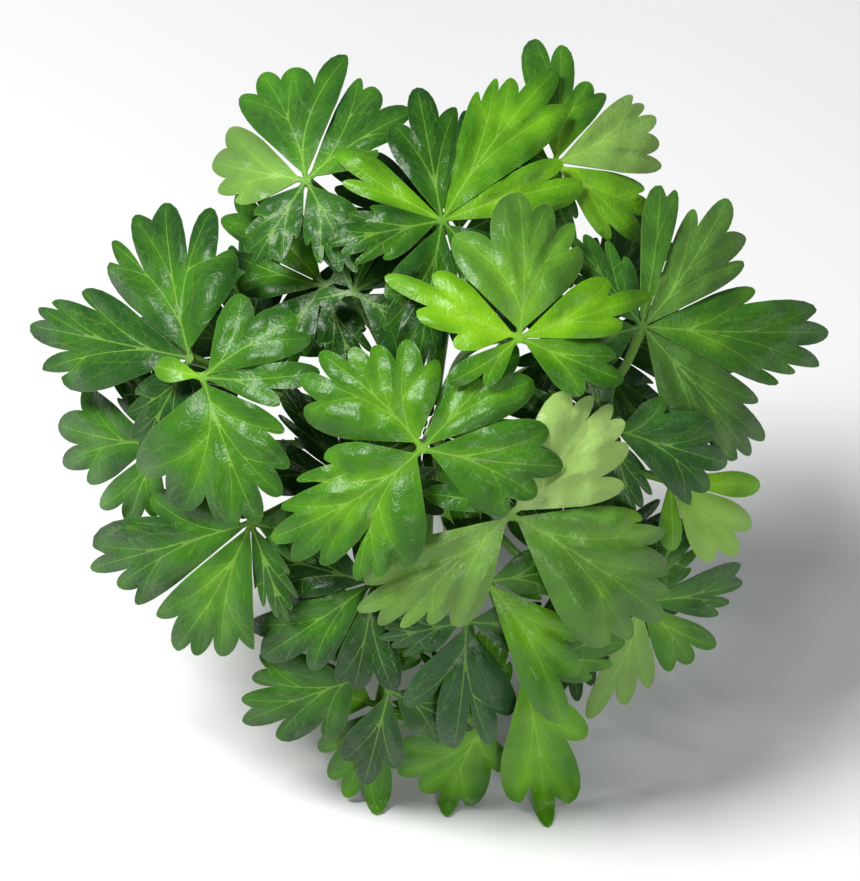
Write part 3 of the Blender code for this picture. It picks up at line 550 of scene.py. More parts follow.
class Pile:
    """The heights of the leaves laid so far, on a square grid over the crown's plan."""

    def __init__(self):
        self.axis = np.arange(-GRID_HALF, GRID_HALF + GRID_STEP, GRID_STEP)
        self.gx, self.gy = np.meshgrid(self.axis, self.axis, indexing="ij")
        self.top = np.full(self.gx.shape, -1000.0)

    def cover(self, leaflet):
        """Grid cells under a leaflet, with their place in its own plan."""
        dx, dy = self.gx - leaflet.hub[0], self.gy - leaflet.hub[1]
        cos, sin = math.cos(leaflet.heading), math.sin(leaflet.heading)
        along, across = dx * cos + dy * sin, dx * sin - dy * cos
        return inside_mask(leaflet.outline(), np.dstack((across, along))), across, along

    def lay(self, leaf, leaflets):
        """Raises a leaf until it clears the pile, adds it, and gives back the raise at each cell."""
        heights = np.full(self.gx.shape, -1000.0)
        base = dome(self.gx, self.gy, leaf.tier)
        for leaflet in leaflets:
            inside, across, along = self.cover(leaflet)
            own = off_floor(base + leaflet.relief(across, along), self.gy)
            heights = np.where(inside, np.maximum(heights, own), heights)
        near_hub = np.hypot(self.gx - leaf.hub[0], self.gy - leaf.hub[1]) < HUB_R + 1.0
        heights = np.where(near_hub, np.maximum(heights, off_floor(base, self.gy)), heights)
        covered = heights > -900.0
        slope = 0.6 + 2.0 * DOME_FALL * np.hypot(self.gx, self.gy)
        clear = (LEAF_THICK + LEAF_CLEAR) * np.sqrt(1.0 + slope**2)
        short = np.where(covered, spread_max(self.top) + clear - heights, 0.0)
        raised = smooth_raise(self.gx, self.gy, short)
        self.top = np.where(covered, np.maximum(self.top, heights + raised), self.top)
        return raised

    def sample(self, field, x, y):
        u = np.clip((np.asarray(x) + GRID_HALF) / GRID_STEP, 0, len(self.axis) - 1.001)
        v = np.clip((np.asarray(y) + GRID_HALF) / GRID_STEP, 0, len(self.axis) - 1.001)
        i, j = u.astype(int), v.astype(int)
        fu, fv = u - i, v - j
        low = field[i, j] * (1 - fv) + field[i, j + 1] * fv
        high = field[i + 1, j] * (1 - fv) + field[i + 1, j + 1] * fv
        return low * (1 - fu) + high * fu


def spread_max(field):
    """Each cell's highest neighbour, so that edges between cells are cleared too."""
    wide = field.copy()
    for di in (-1, 0, 1):
        for dj in (-1, 0, 1):
            wide = np.maximum(wide, np.roll(np.roll(field, di, 0), dj, 1))
    return wide


def smooth_raise(gx, gy, short):
    """A smooth field that is at least as high as every shortfall."""
    raised = np.zeros(short.shape)
    for i, j in sorted(np.argwhere(short > 0.0), key=lambda cell: -short[tuple(cell)]):
        if raised[i, j] < short[i, j]:
            fall = np.exp(-((gx - gx[i, j]) ** 2 + (gy - gy[i, j]) ** 2) / PUSH_REACH**2)
            raised = np.maximum(raised, short[i, j] * 1.02 * fall)
    return raised


def upward(points, faces):
    """Turns every triangle to face up the crown's axis."""
    turned = []
    for a, b, c in faces:
        ab, ac = points[b] - points[a], points[c] - points[a]
        turned.append((a, b, c) if ab[0] * ac[1] - ab[1] * ac[0] > 0 else (a, c, b))
    return turned


# What a blade's material reads at each point, in the order that fine_leaflet gives it: how far it
# is from a main vein, in half-widths and in millimetres, and from a side vein and the rim; then how
# bright it is and how strong its painted blue-grey sheen is, how far along its leaflet, and how far
# it fades to pale sage, partly its own colour and partly a painted highlight.
POINT_VALUES = ("vein", "off", "side", "rim", "tone", "cool", "reach", "pale")

# How pale the fine net, the side veins, the main veins and the rim are, from 0 to 1.
NET_PALE = 0.07
SIDE_PALE = 0.36
VEIN_PALE = 0.66
RIM_PALE = 0.22

# Leaf flesh from the darkest leaves to the brightest.
LEAF_GREENS = (
    (0.0, (0.003, 0.020, 0.004)), (0.25, (0.009, 0.050, 0.004)), (0.5, (0.036, 0.140, 0.004)),
    (0.75, (0.110, 0.285, 0.005)), (1.0, (0.215, 0.430, 0.010)),
)


def unit(vector):
    return vector / np.linalg.norm(vector)


def turned(ways, cos, sin):
    """Plan directions, one per row, turned by the angles whose cosines and sines are given."""
    return np.column_stack((cos * ways[:, 0] - sin * ways[:, 1], sin * ways[:, 0] + cos * ways[:, 1]))


def polyline(start, bend, end):
    """A vein's curve, divided into steps of about VEIN_STEP."""
    count = max(3, int(np.linalg.norm(np.subtract(end, start)) / VEIN_STEP) + 1)
    return curve(start, bend, end, count)


def branch(parent, share, tip, pull):
    """A vein that leaves its parent at a share of its length and curves out to a tip."""
    index = int(np.clip(round(share * (len(parent) - 1)), 1, len(parent) - 2))
    start = parent[index]
    along = unit(parent[index + 1] - parent[index - 1])
    chord = np.array(tip) - start
    bend = start + pull * np.linalg.norm(chord) * along + (0.5 - pull) * chord
    return polyline(start, bend, tip)


def vein_network(leaflet, start):
    """A leaflet's veins: (points, half-width at the start, half-width at the end)."""
    def tip_of(tooth, share=0.955):
        return leaflet.place(tooth.angle, tooth.radius * share)

    main = max(leaflet.teeth, key=lambda t: t.radius * math.cos(t.angle))
    midrib = polyline(start, (0.0, main.radius * 0.45), tip_of(main))
    veins = [(midrib, *MIDRIB)]
    for number in sorted({tooth.lobe for tooth in leaflet.teeth}):
        lobe = [tooth for tooth in leaflet.teeth if tooth.lobe == number]
        if number == main.lobe:
            lead, path = main, midrib
        else:
            lead = max(lobe, key=lambda t: t.radius)
            share = min(max(0.3 - 0.32 * abs(lead.angle - main.angle), 0.06), 0.26)
            path = branch(midrib, share, tip_of(lead), 0.26)
            veins.append((path, *LOBE_VEIN))
        for tooth in lobe:
            if tooth is not lead:
                share = min(max(0.66 - 0.9 * abs(tooth.angle - lead.angle), 0.28), 0.6)
                veins.append((branch(path, share, tip_of(tooth, 0.94), 0.22), *TOOTH_VEIN))
    return veins


def side_veins(leaflet, outline, trunk):
    """Small veins that leave the main ones at a slant, and run on to the rim or to the next vein."""
    trunk_rows, rim_rows = segment_arrays(trunk), edge_rows(outline)
    starts, ways, turns = [], [], []
    for order, (points, _, _) in enumerate(trunk):
        for n in range(2 if order else 4, len(points) - 2, 3 if order < 3 else 4):
            ahead = unit(points[n + 1] - points[n - 1])
            for turn in (-1.0, 1.0):
                slant = turn * math.radians(46.0 + 7.0 * math.sin(2.1 * n + 1.7 * order + leaflet.seed))
                starts.append(points[n])
                ways.append(turned(ahead[None], math.cos(slant), math.sin(slant))[0])
                turns.append(turn)
    if not starts:
        return []
    spots, ways, turns = np.array(starts), np.array(ways), np.array(turns)
    paths = [[spot] for spot in spots]
    live = np.ones(len(spots), bool)
    for step in range(24):
        bend = -turns * 0.05 + 0.04 * np.sin(1.3 * step + 2.0 * np.arange(len(turns)) + leaflet.seed)
        ways = turned(ways, np.cos(bend), np.sin(bend))
        spots = spots + ways * SIDE_STEP
        live &= inside_mask(outline, spots) & (nearest_vein(spots, rim_rows)[0] > 0.6)
        if step > 0:
            live &= nearest_vein(spots, trunk_rows)[0] > 0.75
        for path, spot, going in zip(paths, spots, live):
            if going:
                path.append(spot)
    return [(np.array(path), *SIDE_VEIN) for path in paths if len(path) > 2]


def clear_points(spots, outline, rows, edge_gap, vein_gap):
    """The spots inside an outline that keep a gap to its edge and to the veins."""
    spots = spots[inside_mask(outline, spots)]
    clear = nearest_vein(spots, edge_rows(outline))[0] > edge_gap
    return spots[clear & (nearest_vein(spots, rows)[0] > vein_gap)]


def beside_points(outline, veins, rows, gap):
    """Points close along both sides of each vein, so that a vein's colour stays on the vein."""
    spots = []
    for points, _, _ in veins:
        ahead = np.gradient(points, axis=0)
        across = np.column_stack((-ahead[:, 1], ahead[:, 0])) / np.linalg.norm(ahead, axis=1)[:, None]
        spots += [points + side * gap * across for side in (-1.0, 1.0)]
    return clear_points(np.vstack(spots), outline, rows, 0.5 * gap, 0.8 * gap)


def segment_arrays(veins):
    """All vein segments as rows: where each starts and ends, and its half-width at both ends."""
    rows = []
    for points, wide, narrow in veins:
        done = np.append(0.0, np.cumsum(np.linalg.norm(np.diff(points, axis=0), axis=1)))
        widths = wide + (narrow - wide) * done / done[-1]
        rows.append(np.column_stack((points[:-1], points[1:], widths[:-1], widths[1:])))
    return np.vstack(rows)


def nearest_vein(spots, rows):
    """For each spot: how far the nearest vein is, in millimetres and in half-widths of that vein."""
    a, b = rows[:, 0:2], rows[:, 2:4]
    ab = b - a
    to = spots[:, None, :] - a[None]
    share = np.clip((to * ab[None]).sum(2) / np.maximum((ab**2).sum(1), 1e-9)[None], 0.0, 1.0)
    gap = np.linalg.norm(to - share[:, :, None] * ab[None], axis=2)
    width = rows[None, :, 4] + (rows[:, 5] - rows[:, 4])[None] * share
    best = np.argmin(gap - width * 0.5, axis=1)
    pick = np.arange(len(spots))
    return gap[pick, best], gap[pick, best] / width[pick, best]


def edge_rows(outline):
    """An outline's edges as rows like those of segment_arrays, all 1 mm in half-width."""
    loop = np.array(outline)
    return np.column_stack((loop, np.roll(loop, -1, 0), np.ones((len(loop), 2))))


def inside_mask(outline, spots):
    """Which spots lie inside an outline, by how often a line from each one crosses it."""
    x, y = spots[..., 0], spots[..., 1]
    inside = np.zeros(x.shape, bool)
    for (x0, y0), (x1, y1) in round_pairs(outline):
        if y0 != y1:
            inside ^= ((y0 > y) != (y1 > y)) & (x < (x1 - x0) * (y - y0) / (y1 - y0) + x0)
    return inside


def fill_points(outline, rows, step):
    """A staggered grid of points inside an outline, clear of its edge and of the veins."""
    shape = np.array(outline)
    low, high = shape.min(0), shape.max(0)
    xs = np.arange(low[0], high[0], step)
    ys = np.arange(low[1] + 0.3 * step, high[1], step * 0.866)
    gx, gy = np.meshgrid(xs, ys)
    gx = gx + (np.arange(len(ys)) % 2)[:, None] * step * 0.5
    spots = np.column_stack((gx.ravel(), gy.ravel()))
    return clear_points(spots, outline, rows, 0.5 * step, 0.55 * step)


def triangulate(outline, veins, fill):
    """Triangles inside an outline, with its veins as edges: points, faces, each point's outline id.

    The first vein starts at the outline's last point.
    """
    def key(spot):
        return round(spot[0], 4), round(spot[1], 4)

    flat = [tuple(p) for p in outline]
    edges = [(i, (i + 1) % len(flat)) for i in range(len(flat))]
    index_of = {key(outline[-1]): len(outline) - 1}
    for points, _, _ in veins:
        for spot in points:
            if key(spot) not in index_of:
                index_of[key(spot)] = len(flat)
                flat.append(tuple(spot))
        ids = [index_of[key(spot)] for spot in points]
        edges += zip(ids, ids[1:])
    flat += [tuple(p) for p in fill]
    flat = [Vector(p) for p in flat]
    spots, _, faces, sources, *_ = geometry.delaunay_2d_cdt(flat, edges, [], 1, 1e-4)
    outline_ids = [min((i for i in ids if i < len(outline)), default=None) for ids in sources]
    return np.array([(p.x, p.y) for p in spots]), faces, outline_ids


def blade_relief(leaflet, spots, off, side_off, rim):
    """Height of a fine blade: the leaflet's own shape, puffed between its veins and curled at its rim."""
    x, y = spots.T
    reach = np.clip((np.hypot(x, y) - HUB_R) / leaflet.length, 0.0, 1.0)
    ramp = np.clip(reach * 4.0, 0.0, 1.0)
    puff = PUFF * (1.0 - np.exp(-((off / 2.8) ** 2))) - 0.3 * PUFF
    puff += SIDE_PUFF * (1.0 - np.exp(-((side_off / 0.9) ** 2))) - RIM_CURL * np.exp(-rim / 1.4)
    puff += SWELL * np.sin(0.58 * x + 2.0 * leaflet.seed) * np.sin(0.52 * y + 1.3 * leaflet.seed)
    droop = TIP_DROOP * np.clip((reach - 0.7) / 0.3, 0.0, 1.0) ** 2
    return leaflet.relief(x, y) + ramp * puff - droop


def fine_leaflet(leaflet, tone, cool, pale):
    """A leaflet's upper skin: rows of values, triangles, and the three corners that meet the hub."""
    outline = leaflet.outline() + [leaflet.foot]
    trunk = vein_network(leaflet, leaflet.foot)
    small = side_veins(leaflet, outline, trunk)
    trunk_rows, small_rows = segment_arrays(trunk), segment_arrays(small or trunk[:1])
    rows = np.vstack((trunk_rows, small_rows))
    inner = [beside_points(outline, trunk, rows, BESIDE)]
    if small:
        inner.append(beside_points(outline, small, rows, BESIDE * 0.7))
    inner.append(fill_points(outline, rows, MESH_STEP))
    spots, triangles, outline_ids = triangulate(outline, trunk + small, np.vstack(inner))
    off, vein = nearest_vein(spots, trunk_rows)
    side_off, side = nearest_vein(spots, small_rows)
    rim = nearest_vein(spots, edge_rows(outline[:-1]))[0]
    height = blade_relief(leaflet, spots, off, side_off, rim)
    corners = [outline_ids.index(k) for k in (0, len(outline) - 1, len(outline) - 2)]
    height[corners] = 0.0
    x, y = spots.T
    reach = np.hypot(x, y) / leaflet.length
    crown_x, crown_y = leaflet.to_crown(x, y)
    columns = (crown_x, crown_y, height, vein, off, side, rim, tone, cool, reach, pale, x, y)
    triangles = [tuple(face) for face in triangles if len(face) == 3]
    return np.column_stack(np.broadcast_arrays(*columns)), triangles, corners


def fine_leaf(leaf, leaflets, pile, raised):
    """A leaf's upper skin: points with a row of values each, and triangles."""
    blocks, faces, ring = [], [], []
    count = 0
    for leaflet, (tone, pale) in zip(leaflets, leaf.tones):
        rows, triangles, corners = fine_leaflet(leaflet, tone, leaf.cool, pale)
        blocks.append(rows)
        faces += [tuple(i + count for i in face) for face in triangles]
        ring.append([i + count for i in corners])
        count += len(rows)
    # The hub: a small raised centre, joined to the leaflets' feet and to edge points between them.
    looks = (np.mean([tone for tone, _ in leaf.tones]), leaf.cool, 0.0, 0.0, 0.0, 0.0)
    hub = [(*leaf.hub, 0.15, 0.0, 0.0, 3.0, 3.0, *looks)]
    loop = []
    order = sorted(range(len(leaflets)), key=lambda k: leaflets[k].foot_angle())
    for here, after in round_pairs(order):
        loop += ring[here]
        first = leaflets[here].foot_angle()
        gap = (leaflets[after].foot_angle() - first) % math.tau or math.tau
        pieces = max(1, int(gap / math.radians(75.0)))
        for n in range(pieces):
            angle = first + gap * (n + 1) / (pieces + 1)
            x, y = leaf.hub[0] + HUB_EDGE * math.cos(angle), leaf.hub[1] + HUB_EDGE * math.sin(angle)
            loop.append(count + len(hub))
            hub.append((x, y, 0.0, 0.3, 0.2, 3.0, 0.3, *looks))
    faces += [(count, a, b) for a, b in round_pairs(loop)]
    values = np.vstack(blocks + [hub])
    x, y = values[:, 0], values[:, 1]
    values[:, 2] = off_floor(dome(x, y, leaf.tier) + values[:, 2], y) + pile.sample(raised, x, y)
    return values, faces


def shell(points, faces, thick):
    """A closed thin shell under a sheet: its points, and its upper, lower and rim faces."""
    normals = np.zeros(points.shape)
    tri = np.array(faces)
    weight = np.cross(points[tri[:, 1]] - points[tri[:, 0]], points[tri[:, 2]] - points[tri[:, 0]])
    for k in range(3):
        np.add.at(normals, tri[:, k], weight)
    normals /= np.maximum(np.linalg.norm(normals, axis=1), 1e-12)[:, None]
    count = len(points)
    solid = np.vstack((points, points - normals * thick))
    under = [(a + count, c + count, b + count) for a, b, c in faces]
    edges = {(a, b) for f in faces for a, b in round_pairs(f)}
    rim = [(b, a, a + count, b + count) for a, b in sorted(edges) if (b, a) not in edges]
    return solid, list(faces), under, rim


def put_in_scene(name, data):
    item = bpy.data.objects.new(name, data)
    bpy.context.scene.collection.objects.link(item)
    return item


def crown_points(node, shift):
    """A CAD solid's vertices in the crown's frame."""
    flat = np.zeros(len(node.data.vertices) * 3)
    node.data.vertices.foreach_get("co", flat)
    return to_crown_frame(flat.reshape(-1, 3), shift)


def set_values(mesh, name, values):
    layer = mesh.attributes.new(name, "FLOAT", "POINT")
    layer.data.foreach_set("value", np.asarray(values, np.float32))


def to_world(points, shift):
    return points @ CROWN_AXES * MM + shift


def to_crown_frame(points, shift):
    return (points - shift) / MM @ CROWN_AXES.T


def add_piece(name, points, faces, materials, slots, node):
    mesh = bpy.data.meshes.new(name)
    mesh.from_pydata([tuple(p) for p in points], [], faces)
    for material in materials:
        mesh.materials.append(material)
    mesh.polygons.foreach_set("material_index", slots)
    mesh.polygons.foreach_set("use_smooth", [True] * len(faces))
    item = put_in_scene(name, mesh)
    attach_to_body(item, "root")
    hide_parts(node)
    return item


def build_leaves(shift, skins):
    pile = Pile()
    for number, leaf in enumerate(LEAVES):
        leaflets = leaflets_of(leaf, number)
        values, faces = fine_leaf(leaf, leaflets, pile, pile.lay(leaf, leaflets))
        points = values[:, :3]
        solid, top, under, rim = shell(points, upward(points, faces), BLADE_THICK)
        slots = [0] * len(top) + [1] * len(under) + [0] * len(rim)
        name = f"{number + 1:02d}"
        solid, skin = to_world(solid, shift), top + under + rim
        mesh = add_piece("blade_" + name, solid, skin, skins, slots, "leaf_" + name).data
        for column, label in enumerate(POINT_VALUES, 3):
            set_values(mesh, label, np.tile(values[:, column], 2))
        layer = mesh.uv_layers.new(name="plan")
        plan = np.tile(values[:, -2:], (2, 1)) * 0.01 + number * 0.37
        loops = np.zeros(len(mesh.loops), np.int32)
        mesh.loops.foreach_get("vertex_index", loops)
        layer.data.foreach_set("uv", plan[loops].astype(np.float32).ravel())
        sharp_rim(mesh, len(top), len(under))


def sharp_rim(mesh, top, under):
    """Marks the edges where the rim meets the two skins, so that each shades on its own."""
    rim_edges = set()
    for polygon in list(mesh.polygons)[top + under:]:
        a, b, c, d = polygon.vertices
        rim_edges |= {tuple(sorted((a, b))), tuple(sorted((c, d)))}
    for edge in mesh.edges:
        if tuple(sorted(edge.vertices)) in rim_edges:
            edge.use_edge_sharp = True


def smooth_run(points, per_span):
    """A Catmull-Rom curve through the given points."""
    padded = np.vstack((2 * points[0] - points[1], points, 2 * points[-1] - points[-2]))
    out = []
    for k in range(1, len(padded) - 2):
        a, b, c, d = padded[k - 1:k + 3]
        for t in np.linspace(0.0, 1.0, per_span, endpoint=False):
            square, cube = 2 * a - 5 * b + 4 * c - d, 3 * b - a - 3 * c + d
            out.append(0.5 * (2 * b + (c - a) * t + square * t**2 + cube * t**3))
    out.append(padded[-2])
    return np.array(out)


def stalk_centres(node, shift):
    """The centre line of a CAD stalk, from the rings of its mesh."""
    spots = np.unique(np.round(crown_points(node, shift), 3), axis=0)
    spots = spots[np.argsort(spots[:, 2])]
    return spots[: len(spots) // STALK_SIDES * STALK_SIDES].reshape(-1, STALK_SIDES, 3).mean(1)


def tube_faces(rings, sides, closed=False):
    """Quads between rings of points, and from the last ring to the first if the tube is closed."""
    count = rings * sides
    starts = [(k * sides + m, k * sides + (m + 1) % sides) for k in range(rings) for m in range(sides)]
    starts = starts if closed else starts[:-sides]
    return [(a, b, (b + sides) % count, (a + sides) % count) for a, b in starts]


def stalk_radius(z, top_z):
    """Thickest at the cut end, thinner up to the hub, with a small swelling just under the hub."""
    if z < 0.0:
        radius = STALK_R_BAND + (STALK_R_CUT - STALK_R_BAND) * z / CUT_Z
    else:
        radius = STALK_R_BAND + (STALK_R_HUB - STALK_R_BAND) * z / top_z
    return radius + 0.35 * math.exp(-((top_z - z) / 2.5) ** 2)


def stalk_mesh(path):
    """A grooved stalk along a path, with a cut face at the bottom and a rounded top."""
    side = np.array((1.0, 0.0, 0.0))
    rings = []
    for n, spot in enumerate(path):
        ahead = unit(path[min(n + 1, len(path) - 1)] - path[max(n - 1, 0)])
        side = unit(side - ahead * side.dot(ahead))
        rings.append((spot, ahead, side, np.cross(ahead, side), stalk_radius(spot[2], path[-1][2])))
    # Each ring of the mesh: where it stands, and how far along and how wide its end is rounded off.
    first, last = rings[0], rings[-1]
    profile = [(first, lift, grow) for grow, lift in CUT_FACE] + [(ring, 0.0, 1.0) for ring in rings]
    profile += [(last, lift, grow) for lift, grow in TOP_ROUND]
    turns = [math.tau * m / STEM_SIDES for m in range(STEM_SIDES)]
    grooves = [1.0 + 0.045 * math.cos(6.0 * t) - 0.05 * max(0.0, math.cos(t)) ** 8 for t in turns]
    points = []
    for (spot, ahead, side, other, radius), lift, grow in profile:
        for t, groove in zip(turns, grooves):
            out = (side * math.cos(t) + other * math.sin(t)) * (radius * grow) * groove
            points.append(spot + ahead * lift + out)
    faces = tube_faces(len(profile), STEM_SIDES)
    slots = [1 if n < len(CUT_FACE) * STEM_SIDES else 0 for n in range(len(faces))]
    bottom, top = len(points), len(points) + 1
    points += [first[0] + first[1] * 0.35, last[0] + last[1] * 0.7]
    start = (len(profile) - 1) * STEM_SIDES
    for m in range(STEM_SIDES):
        after = (m + 1) % STEM_SIDES
        faces += [(bottom, after, m), (top, start + m, start + after)]
        slots += [1, 0]
    return np.array(points), faces, slots


def build_stalks(shift, skins):
    for number in range(1, len(LEAVES) + 1):
        name = f"stalk_{number:02d}"
        path = smooth_run(stalk_centres(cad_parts[name], shift), 5)
        points, faces, slots = stalk_mesh(path)
        item = add_piece("stem_" + name[6:], to_world(points, shift), faces, skins, slots, name)
        set_values(item.data, "height", points[:, 2])
        set_values(item.data, "tone", np.full(len(points), (number * 0.618) % 1.0))


def build_band(shift, material):
    """Three turns of a narrow rubber band, each a little out of line with the next."""
    cad_band = crown_points(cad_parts["tie_band"], shift)
    outer = float(np.hypot(cad_band[:, 0], cad_band[:, 1]).max())
    width = (BAND_WIDTH - 0.7) / BAND_TURNS
    ring = tube_faces(BAND_STEPS, BAND_SIDES, closed=True)
    points, faces = [], []
    for turn_number in range(BAND_TURNS):
        faces += [tuple(len(points) + i for i in (a, d, c, b)) for a, b, c, d in ring]
        middle = (turn_number - 1) * width * 1.02
        for n in range(BAND_STEPS):
            turn = math.tau * n / BAND_STEPS
            wander = middle + 0.22 * math.sin(2.0 * turn + turn_number * 1.7)
            radius = outer - 0.62 + 0.1 * math.sin(3.0 * turn + turn_number)
            for k in range(BAND_SIDES):
                ca, sa = math.cos(math.tau * k / BAND_SIDES), math.sin(math.tau * k / BAND_SIDES)
                out = radius + 0.55 * math.copysign(abs(ca) ** 0.6, ca)
                high = wander + 0.5 * width * 0.94 * math.copysign(abs(sa) ** 0.6, sa)
                points.append((out * math.cos(turn), out * math.sin(turn), high))
    world = to_world(np.array(points), shift)
    add_piece("rubber_band", world, faces, [material], [0] * len(faces), "tie_band")


class Nodes:
    """A short way to lay out a material's nodes."""

    def __init__(self, name):
        self.material = bpy.data.materials.new(name)
        self.material.use_nodes = True
        self.tree = self.material.node_tree
        self.shader = self.tree.nodes["Principled BSDF"]

    def feed(self, socket, value):
        """Links a socket to another, or sets its value."""
        if isinstance(value, bpy.types.NodeSocket):
            self.tree.links.new(value, socket)
        else:
            socket.default_value = value

    def put(self, kind, inputs=(), **settings):
        node = self.tree.nodes.new("ShaderNode" + kind)
        for key, value in settings.items():
            setattr(node, key, value)
        for key, value in dict(inputs).items():
            self.feed(node.inputs[key], value)
        return node

    def place(self):
        """Where a point is, in the object's own frame."""
        return self.put("TexCoord").outputs["Object"]

    def attribute(self, name):
        return self.put("Attribute", attribute_name=name, attribute_type="GEOMETRY").outputs["Fac"]

    def total(self, value, *more):
        """The sum of some values, kept between 0 and 1."""
        for other in more:
            value = self.put("Math", {0: value, 1: other}, operation="ADD", use_clamp=True).outputs[0]
        return value

    def times(self, a, b):
        return self.put("Math", {0: a, 1: b}, operation="MULTIPLY").outputs[0]

    def ramp(self, value, low, high, to_low=0.0, to_high=1.0, kind="SMOOTHSTEP"):
        inputs = {"Value": value, "From Min": low, "From Max": high, "To Min": to_low, "To Max": to_high}
        return self.put("MapRange", inputs, interpolation_type=kind).outputs["Result"]

    def vary(self, noise, low, high):
        """Spreads the middle of a noise evenly from low to high."""
        return self.ramp(noise, 0.3, 0.7, low, high, "LINEAR")

    def colours(self, value, stops):
        node = self.put("ValToRGB", {"Fac": value})
        points = node.color_ramp.elements
        while len(points) < len(stops):
            points.new(0.5)
        for point, (place, colour) in zip(points, stops):
            point.position = place
            point.color = (*colour, 1.0)
        return node.outputs["Color"]

    def mix(self, share, colour, other):
        """Mixes a colour towards another, which is given as plain numbers or as a socket."""
        other = (*other, 1.0) if isinstance(other, tuple) else other
        return self.put("Mix", {0: share, 6: colour, 7: other}, data_type="RGBA").outputs[2]

    def noise(self, vector, scale, detail=3.0, roughness=0.55):
        inputs = {"Vector": vector, "Scale": scale, "Detail": detail, "Roughness": roughness}
        return self.put("TexNoise", inputs).outputs["Fac"]

    def bump(self, height, strength, distance, normal=None):
        inputs = {"Height": height, "Strength": strength, "Distance": distance}
        if normal is not None:
            inputs["Normal"] = normal
        return self.put("Bump", inputs).outputs["Normal"]

    def finish(self, **inputs):
        for key, value in inputs.items():
            self.feed(self.shader.inputs[key.replace("_", " ")], value)
        return self.material


def net_of(n, plan, scale):
    """The fine net of small veins, as a height that is 1 inside its cells and 0 on its lines."""
    warp = n.put("TexNoise", {"Vector": plan, "Scale": scale * 0.6, "Detail": 2.0}).outputs["Color"]
    bent = n.put("Mix", {0: 0.035, 4: plan, 5: warp}, data_type="VECTOR").outputs[1]
    cells = n.put("TexVoronoi", {"Vector": bent, "Scale": scale}, feature="DISTANCE_TO_EDGE")
    return n.ramp(cells.outputs["Distance"], 0.0, 0.14)


def leaf_material(name, under):
    n = Nodes(name)
    plan = n.put("UVMap", uv_map="plan").outputs["UV"]
    place = n.place()
    vein, off, side, rim, tone, cool, reach, sage_and_highlight = (n.attribute(k) for k in POINT_VALUES)
    drift = n.noise(place, 48.0, 2.0)
    mottle = n.noise(plan, 70.0, 4.0, 0.62)
    # The flesh is a little lighter beside the veins and near the hub than out between the veins.
    beside, inward = n.ramp(off, 0.2, 3.5, 0.07, -0.05), n.ramp(reach, 0.1, 1.0, 0.09, -0.07, "LINEAR")
    level = n.total(tone, n.vary(drift, -0.11, 0.11), n.vary(mottle, -0.022, 0.022), beside, inward)
    # Painted sheen: the flesh is tinted blue-grey here, standing in for reflected light.
    flesh = n.mix(n.times(cool, 0.5), n.colours(level, LEAF_GREENS), (0.045, 0.130, 0.045))
    # Pale sage green, partly the leaflet's own colour and partly a painted highlight.
    flesh = n.mix(sage_and_highlight, flesh, (0.31, 0.45, 0.13))
    net = net_of(n, plan, 42.0)
    vein_mask = n.ramp(vein, 0.5, 1.25, 1.0, 0.0)
    side_mask = n.ramp(side, 0.4, 1.9, 1.0, 0.0)
    pale = n.mix(0.34, flesh, (0.20, 0.38, 0.035))
    bright = n.mix(0.5, flesh, (0.26, 0.45, 0.07))
    colour = n.mix(n.ramp(net, 0.0, 1.0, NET_PALE, 0.0, "LINEAR"), flesh, pale)
    colour = n.mix(n.times(side_mask, SIDE_PALE), colour, pale)
    colour = n.mix(n.times(vein_mask, VEIN_PALE), colour, bright)
    colour = n.mix(n.ramp(rim, 0.0, 0.3, RIM_PALE, 0.0), colour, bright)
    if under:
        colour = n.mix(0.5, colour, (0.16, 0.30, 0.10))
    net_bump = n.bump(net, 0.35, 0.00012)
    crinkle = n.bump(n.noise(plan, 78.0, 3.0, 0.6), 0.3, 0.0005, net_bump)
    side_bump = n.bump(side_mask, 0.6 if under else -0.6, 0.0003, crinkle)
    vein_bump = n.bump(vein_mask, 0.6 if under else -0.5, 0.0004, side_bump)
    grain = n.bump(n.noise(plan, 330.0, 2.0), 0.35, 0.00007, vein_bump)
    rough = n.total(n.vary(mottle, 0.28, 0.4), n.times(vein_mask, 0.08), 0.18 if under else 0.0)
    return n.finish(
        Base_Color=colour, Roughness=rough, Normal=grain, IOR=1.45, Specular_IOR_Level=0.26,
        Subsurface_Weight=0.2, Subsurface_Radius=(0.5, 1.0, 0.15), Subsurface_Scale=0.0007,
    )


def stalk_material():
    n = Nodes("stalk_skin")
    place = n.place()
    height, tone = n.attribute("height"), n.attribute("tone")
    streak = n.noise(place, 260.0, 4.0)
    level = n.total(n.ramp(height, CUT_Z, 95.0, 0.15, 0.75), n.times(streak, 0.25), n.times(tone, 0.12))
    colour = n.colours(level, [
        (0.0, (0.42, 0.55, 0.20)), (0.4, (0.24, 0.42, 0.075)),
        (0.8, (0.15, 0.33, 0.04)), (1.0, (0.12, 0.28, 0.03)),
    ])
    bump = n.bump(n.noise(place, 900.0, 2.0), 0.3, 0.00008)
    return n.finish(
        Base_Color=colour, Roughness=n.vary(streak, 0.34, 0.5), Normal=bump,
        Subsurface_Weight=0.2, Subsurface_Radius=(0.6, 1.0, 0.2), Subsurface_Scale=0.001,
    )


def cut_material():
    n = Nodes("stalk_cut")
    place = n.place()
    cells = n.put("TexVoronoi", {"Vector": place, "Scale": 2600.0}).outputs["Distance"]
    greens = [(0.0, (0.62, 0.70, 0.38)), (0.6, (0.48, 0.60, 0.24)), (1.0, (0.33, 0.47, 0.14))]
    colour = n.colours(cells, greens)
    return n.finish(Base_Color=colour, Roughness=0.55, Normal=n.bump(cells, 0.5, 0.0001))


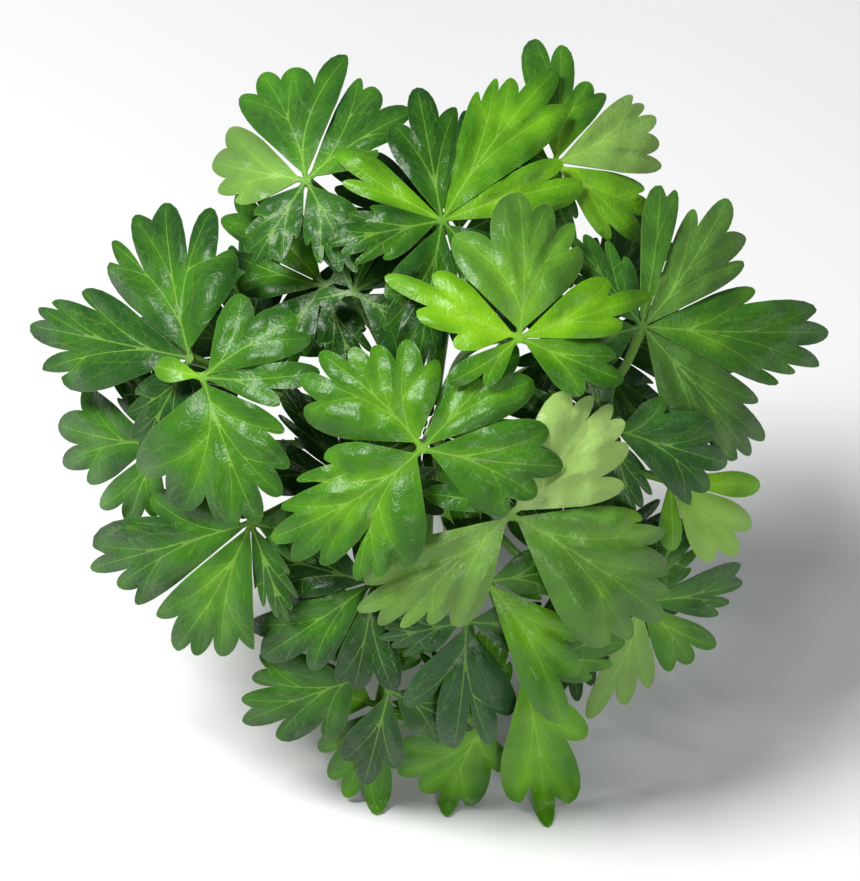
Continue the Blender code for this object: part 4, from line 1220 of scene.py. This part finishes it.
def band_material():
    n = Nodes("band_rubber")
    place = n.place()
    dust = n.noise(place, 420.0, 5.0, 0.65)
    browns = [(0.3, (0.34, 0.105, 0.035)), (0.62, (0.43, 0.15, 0.06)), (0.8, (0.50, 0.22, 0.11))]
    colour = n.colours(dust, browns)
    return n.finish(
        Base_Color=colour, Roughness=n.vary(dust, 0.5, 0.68),
        Normal=n.bump(n.noise(place, 1500.0, 3.0), 0.35, 0.0001),
    )


def build_stage():
    corners = [(x * FLOOR_HALF, y * FLOOR_HALF, 0) for x, y in ((-1, -1), (1, -1), (1, 1), (-1, 1))]
    mesh = bpy.data.meshes.new("floor")
    mesh.from_pydata(corners, [], [(0, 1, 2, 3)])
    mesh.materials.append(Nodes("studio_floor").finish(Base_Color=(*FLOOR_GREY, 1.0), Roughness=0.85))
    put_in_scene("floor", mesh)
    world = bpy.data.worlds.new("studio")
    world.use_nodes = True
    sky = world.node_tree.nodes["Background"].inputs
    sky["Color"].default_value = (*SKY_COLOUR, 1.0)
    sky["Strength"].default_value = SKY_STRENGTH
    bpy.context.scene.world = world
    bpy.context.scene.view_settings.view_transform = "Standard"
    for name, place, size, power, colour in LIGHTS:
        data = bpy.data.lights.new(name, "AREA")
        data.shape, data.size, data.energy, data.color = "DISK", size, power, colour
        item = put_in_scene(name, data)
        item.location = place
        item.rotation_euler = (Vector(LIT_SPOT) - Vector(place)).to_track_quat("-Z", "Y").to_euler()


def build_camera():
    """A camera that looks straight into the crown, along the bundle."""
    data = bpy.data.cameras.new("camera")
    item = put_in_scene("camera", data)
    bpy.context.scene.camera = item
    look = Vector((0.0, math.cos(TILT), -math.sin(TILT)))
    item.location = Vector(CAMERA_AIM) - look * CAMERA_AWAY
    item.rotation_euler = look.to_track_quat("-Z", "Y").to_euler()
    data.sensor_fit = "HORIZONTAL"
    data.sensor_width = 36.0
    data.lens = data.sensor_width * CAMERA_AWAY / VIEW_WIDE
    data.clip_start = 0.01


def main():
    low, high = (np.array(corner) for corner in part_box("tie_band"))
    shift = (low + high) * 0.5
    skins = [leaf_material("leaf_upper", False), leaf_material("leaf_under", True)]
    build_leaves(shift, skins)
    build_stalks(shift, [stalk_material(), cut_material()])
    build_band(shift, band_material())
    build_stage()
    build_camera()


main()
